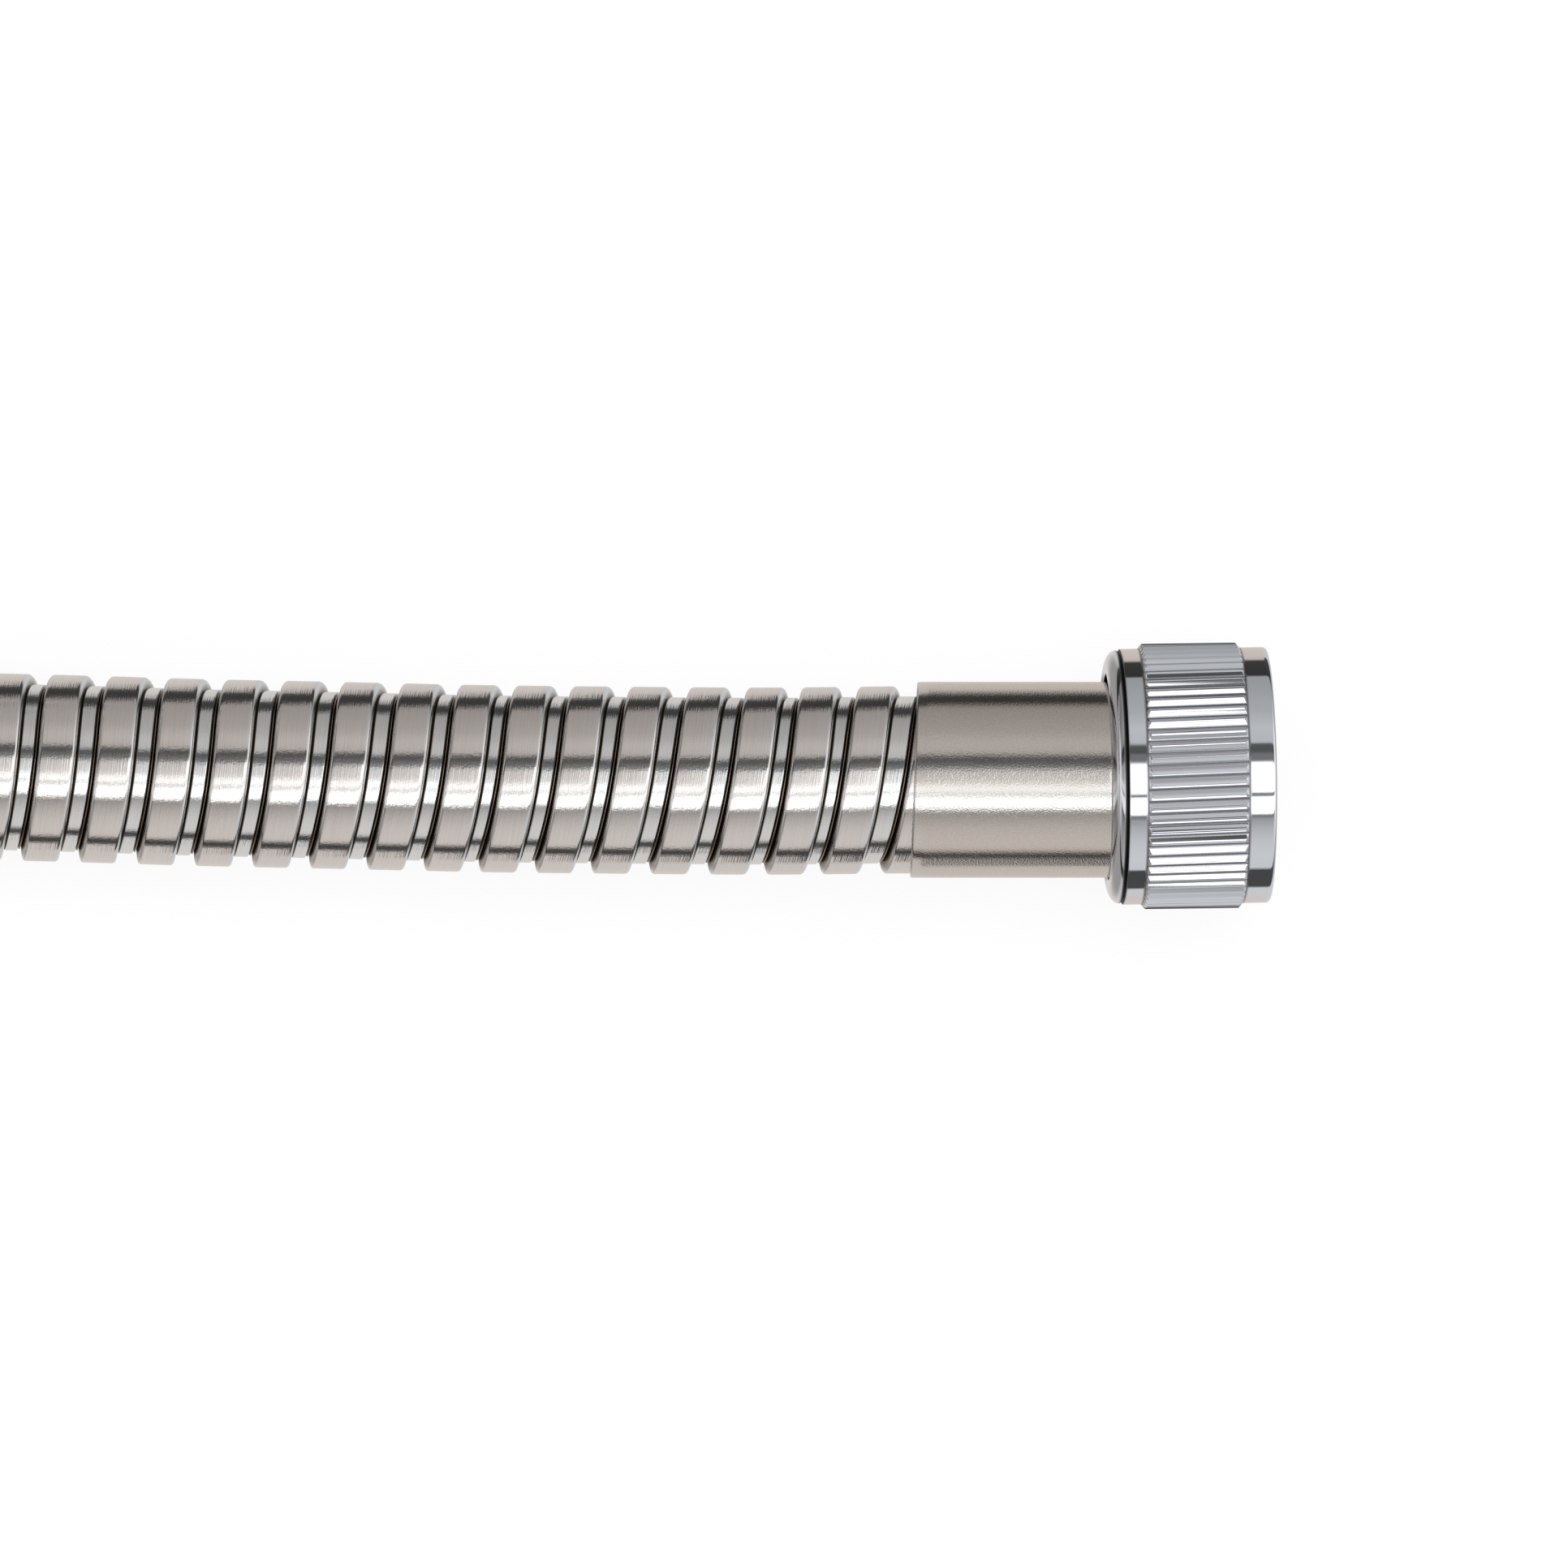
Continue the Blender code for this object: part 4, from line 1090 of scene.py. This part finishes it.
@dataclass(frozen=True)
class Studio:
    """The table, the camera over it, and a soft white light; polished metal mirrors the studio's panels."""

    pixels: int = 1932
    pixels_per_mm: float = 13.4
    centre: tuple[float, float] = (-0.02838, -0.000746)
    axis_height: float = 0.0115
    lens: float = 500.0
    sensor: float = 36.0
    floor_half: float = 12.0
    floor_drop: float = 0.0003
    floor_colour: tuple[float, ...] = (0.92, 0.92, 0.92, 1.0)
    floor_glow: float = 1.04
    ambient: float = 0.78
    lamp_place: tuple[float, float, float] = (0.15, 0.35, 1.6)
    lamp_turn: tuple[float, float, float] = (-0.22, 0.09, 0.0)
    lamp_size: float = 1.4
    lamp_power: float = 9.0
    shadow_share: float = 0.16
    reflection_strength: float = 1.45
    # (degrees from straight up towards +Y, level) of what polished metal mirrors, over the strength
    panels: Stops = (
        (-180, 0.49), (-110, 0.47), (-92.5, 0.46), (-81, 0.475), (-70, 0.46), (-60, 0.425), (-50, 0.36),
        (-40, 0.275), (-38.3, 0.16), (-35.6, 0.16), (-34.9, 1.15), (-19.8, 1.15), (-18.8, 0.35),
        (-16.4, 0.35), (-15.4, 0.95), (11.0, 0.95), (13.0, 0.13), (19.5, 0.125), (21.5, 0.06),
        (28.0, 0.07), (30.0, 0.37), (44.0, 0.39), (60.0, 0.305), (80.0, 0.265), (97.5, 0.235),
        (110.0, 0.30), (125.0, 0.42), (140.0, 0.47), (180, 0.49),
    )
    # (degrees, share left, warmth) of the three boards that hang over the hose, the sleeve and the nut
    hose_board: Stops = (
        (-180, 1.0, 0.09), (-108.0, 1.0, 0.09), (-105.0, 0.08, 0.0), (-95.0, 0.08, 0.0),
        (-91.0, 1.0, 0.09), (-38.0, 1.0, 0.08), (-33.0, 1.0, 0.0), (-9.5, 1.0, 0.01), (-6.0, 0.84, 0.03),
        (-3.5, 0.58, 0.06), (3.0, 0.53, 0.08), (8.0, 0.50, 0.08), (11.0, 0.48, 0.04), (13.0, 1.0, 0.0),
        (27.0, 1.0, 0.0), (31.0, 1.0, 0.10), (95.5, 1.0, 0.10), (98.0, 0.12, 0.0), (119.5, 0.12, 0.0),
        (123.0, 1.0, 0.09),
    )
    sleeve_board: Stops = (
        (-180, 0.95, 0.14), (-125.0, 1.0, 0.20), (-121.0, 0.05, 0.0), (-99.0, 0.05, 0.0),
        (-95.0, 1.0, 0.31), (-42.0, 0.97, 0.31), (-36.0, 0.93, 0.15), (-30.0, 1.05, -0.05),
        (-11.0, 0.90, 0.0), (-8.0, 0.74, 0.06), (-5.0, 0.34, 0.12), (-2.0, 0.16, 0.16), (3.0, 0.12, 0.18),
        (8.0, 0.06, 0.12), (11.0, 0.05, 0.05), (13.0, 0.8, -0.03), (25.0, 0.8, -0.03), (31.0, 1.0, 0.18),
        (60.0, 1.0, 0.28), (100.0, 1.0, 0.30), (103.0, 0.08, 0.1), (126.0, 0.08, 0.1),
        (130.0, 0.95, 0.20),
    )
    nut_board: Stops = (
        (-180, 0.95, -0.03), (-124.0, 0.95, -0.03), (-121.0, 0.10, 0.0), (-95.5, 0.10, 0.0),
        (-93.0, 0.95, -0.03), (-50.0, 0.95, -0.03), (-38.0, 0.88, -0.03), (-34.0, 1.0, 0.0),
        (-20.0, 1.0, 0.0), (-18.8, 0.45, -0.03), (-16.4, 0.45, -0.03), (-15.2, 1.0, 0.0),
        (12.0, 1.0, 0.0), (32.0, 0.98, -0.03), (100.0, 1.04, -0.03), (102.5, 0.10, 0.0),
        (132.0, 0.10, 0.0), (134.0, 0.9, -0.03),
    )
    # The direction's x between which one board gives way to the next
    sleeve_edge: tuple[float, float] = (0.0050, 0.0062)
    nut_edge: tuple[float, float] = (0.032, 0.050)
    # (direction's x, level) ahead and backwards, and (height, level) of the grey at both ends of the hose
    back_shade: Stops = ((0.15, 1.0), (0.5, 0.5))
    ahead_fade: Stops = ((0.45, 0.0), (0.85, 1.0))
    behind_fade: Stops = ((0.82, 0.0), (0.97, 0.8))
    end_grey: Stops = ((0.0, 0.25), (0.45, 0.3), (0.6, 0.6), (1.0, 0.85))

    def camera(self) -> None:
        """Puts the camera straight over the view's middle, at the distance that gives the view its width."""
        data = bpy.data.cameras.new("photo_camera")
        data.lens, data.sensor_width = self.lens, self.sensor
        data.clip_start, data.clip_end = 0.1, 100.0
        made = bpy.data.objects.new("photo_camera", data)
        width = self.pixels / self.pixels_per_mm * MM
        height = self.axis_height + width * self.lens / self.sensor
        made.location = (*self.centre, height)
        bpy.context.scene.collection.objects.link(made)
        bpy.context.scene.camera = made

    def floor(self) -> None:
        """A pale table that shows white and keeps a faint soft shadow."""
        half = self.floor_half
        corner = np.array(((-half, -half), (half, -half), (half, half), (-half, half)))
        points = np.hstack((corner, np.full((4, 1), -self.floor_drop)))
        table = mesh_object("table_top", points, np.array(((0, 1, 2, 3),)))
        made = bpy.data.materials.new("white_table")
        made.use_nodes = True
        made.node_tree.nodes.clear()
        pen = NodePen(made.node_tree)
        diffuse = pen.add("BsdfDiffuse", {"Color": self.floor_colour})
        glow = pen.add("Emission", {"Color": WHITE, "Strength": self.floor_glow})
        path = pen.add("LightPath").outputs
        seen = pen.math("ADD", path["Is Camera Ray"], path["Is Glossy Ray"])
        seen = pen.math("ADD", seen, path["Is Transmission Ray"], clamp=True)
        share = pen.math("MULTIPLY", seen, 1.0 - self.shadow_share)
        mixed = pen.add("MixShader", {0: share, 1: diffuse.outputs[0], 2: glow.outputs[0]})
        pen.add("OutputMaterial", {"Surface": mixed.outputs[0]})
        table.data.materials.append(made)
        table.visible_glossy = False

    @staticmethod
    def board_stops(board: Stops) -> list[tuple[float, Colour]]:
        """A board's ramp: warmth takes blue away from the share that is left, and 0.6 as much green."""
        return [
            (angle / 360 + 0.5, (left, left * (1 - 0.6 * warmth), left * (1 - warmth)))
            for angle, left, warmth in board
        ]

    def reflections(self, pen: NodePen) -> bpy.types.NodeSocket:
        """What polished metal mirrors in each direction.

        A panel's place is the angle atan2(y, z) of the direction. The boards dim the panels by their colour,
        and towards the ends of the hose the panels fade into an even grey that grows paler upwards.

        Args:
            pen: The pen of the world's nodes.

        Returns:
            The colour socket.
        """
        direction = pen.add("TexCoord").outputs["Generated"]
        axes = pen.add("SeparateXYZ", {0: direction}).outputs
        around = pen.math("ARCTAN2", axes["Y"], axes["Z"])
        share = pen.math("ADD", pen.math("DIVIDE", around, FULL_TURN), 0.5, clamp=True)
        bands = pen.ramp(share, [(angle / 360 + 0.5, level) for angle, level in self.panels])
        boards = (self.hose_board, self.sleeve_board, self.nut_board)
        hose, sleeve, nut = (pen.ramp(share, self.board_stops(board)) for board in boards)
        edges = (self.sleeve_edge, self.nut_edge)
        past_hose, past_sleeve = (pen.ramp(axes["X"], ((low, 0.0), (high, 1.0))) for low, high in edges)
        board = pen.mix(past_sleeve, pen.mix(past_hose, hose, sleeve), nut)
        bands = pen.mix(1.0, bands, board, "MULTIPLY")
        back = pen.math("MULTIPLY", axes["X"], -1.0)
        bands = pen.mix(1.0, bands, pen.ramp(back, self.back_shade, smooth=True), "MULTIPLY")
        ahead, behind = pen.ramp(axes["X"], self.ahead_fade, True), pen.ramp(back, self.behind_fade, True)
        height = pen.math("ADD", pen.math("MULTIPLY", axes["Z"], 0.5), 0.5)
        return pen.mix(pen.math("ADD", ahead, behind), bands, pen.ramp(height, self.end_grey))

    def light(self) -> None:
        """White light all round, one soft lamp over the table, and the panels that glossy rays see."""
        world = bpy.data.worlds.new("soft_studio")
        bpy.context.scene.world = world
        world.use_nodes = True
        world.node_tree.nodes.clear()
        pen = NodePen(world.node_tree)
        seen = {"Color": self.reflections(pen), "Strength": self.reflection_strength}
        panels = pen.add("Background", seen)
        path = pen.add("LightPath").outputs
        extra = pen.math("MULTIPLY", path["Is Camera Ray"], 1.0 - self.ambient)
        level = pen.math("ADD", extra, self.ambient)
        plain = pen.add("Background", {"Color": WHITE, "Strength": level})
        shown = pen.add("MixShader", {0: path["Is Glossy Ray"], 1: plain.outputs[0], 2: panels.outputs[0]})
        pen.add("OutputWorld", {"Surface": shown.outputs[0]})

        lamp = bpy.data.lights.new("soft_lamp", "AREA")
        lamp.shape, lamp.size, lamp.energy = "DISK", self.lamp_size, self.lamp_power
        made = bpy.data.objects.new("soft_lamp", lamp)
        made.location, made.rotation_euler = self.lamp_place, self.lamp_turn
        made.visible_glossy = False
        made.visible_camera = False
        bpy.context.scene.collection.objects.link(made)


def dress_nodes(frame: dict) -> None:
    """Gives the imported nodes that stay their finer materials.
    """
    brass = MetalFinish(
        "turned_brass", (0.78, 0.58, 0.27), 0.16, grain_scale=2500.0, grain_height=0.003, grain_tint=0.06,
        fleck_amount=0.33,
    ).make()
    rubber = SoftFinish("seal_rubber", (0.022, 0.022, 0.022), 0.62).make()
    tube = SoftFinish("inner_tube_clear_white", (0.74, 0.75, 0.73), 0.38, 900.0, 0.01, 0.06, 0.15).make()
    band = SoftFinish("woven_black_band", (0.016, 0.016, 0.017), 0.55, 2600.0, 0.08, 0.3).make()
    finishes = {
        "hose_tail": brass, "far_hose_tail": brass, "nut_washer": rubber, "far_nut_washer": rubber,
        "inner_tube_end": tube, "far_inner_tube_end": tube, "coil_tie_top": band, "coil_tie_back": band,
    }
    for name, material in finishes.items():
        for slot in frame["nodes"][name].material_slots:
            slot.material = material
        LOG.info("%s keeps its solid and takes %s", name, material.name)


def main() -> None:
    """Builds the studio, then the hose, then both fittings."""
    logging.basicConfig(level=logging.INFO, format="%(name)s: %(message)s")
    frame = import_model()
    bpy.context.scene.view_settings.view_transform = "Standard"

    studio = Studio()
    studio.camera()

    armour = ArmourStrip()
    strip = armour.build()
    route, line = armour.route, armour.line

    x, y, z = NEAR_PLACE
    level = math.cos(NUT_DROOP)
    askew = (level * math.cos(NUT_TURN), level * math.sin(NUT_TURN), -math.sin(NUT_DROOP))
    KnurledNut(FittingFrame((x, y + NUT_SIDESTEP, z), askew)).build()
    Sleeve(FittingFrame(NEAR_PLACE, (1.0, 0.0, 0.0)), "near_sleeve", "end_sleeve", MOUTH_SLANT).build()
    x, y, z = route.coil(np.array([route.end_angle]))[0].tolist()
    far = FittingFrame((x, y + SLEEVE_REACH, z), (0.0, 1.0, 0.0))
    far_sleeve = Sleeve(far, "far_end_sleeve", "far_sleeve", 0.0).build()
    hexagon = HexNut(far).build()
    dress_nodes(frame)

    line.length()
    line.at(np.linspace(0.0, line.length(), PATH_POINTS)).tolist()

    studio.floor()
    studio.light()


if __name__ == "__main__":
    main()
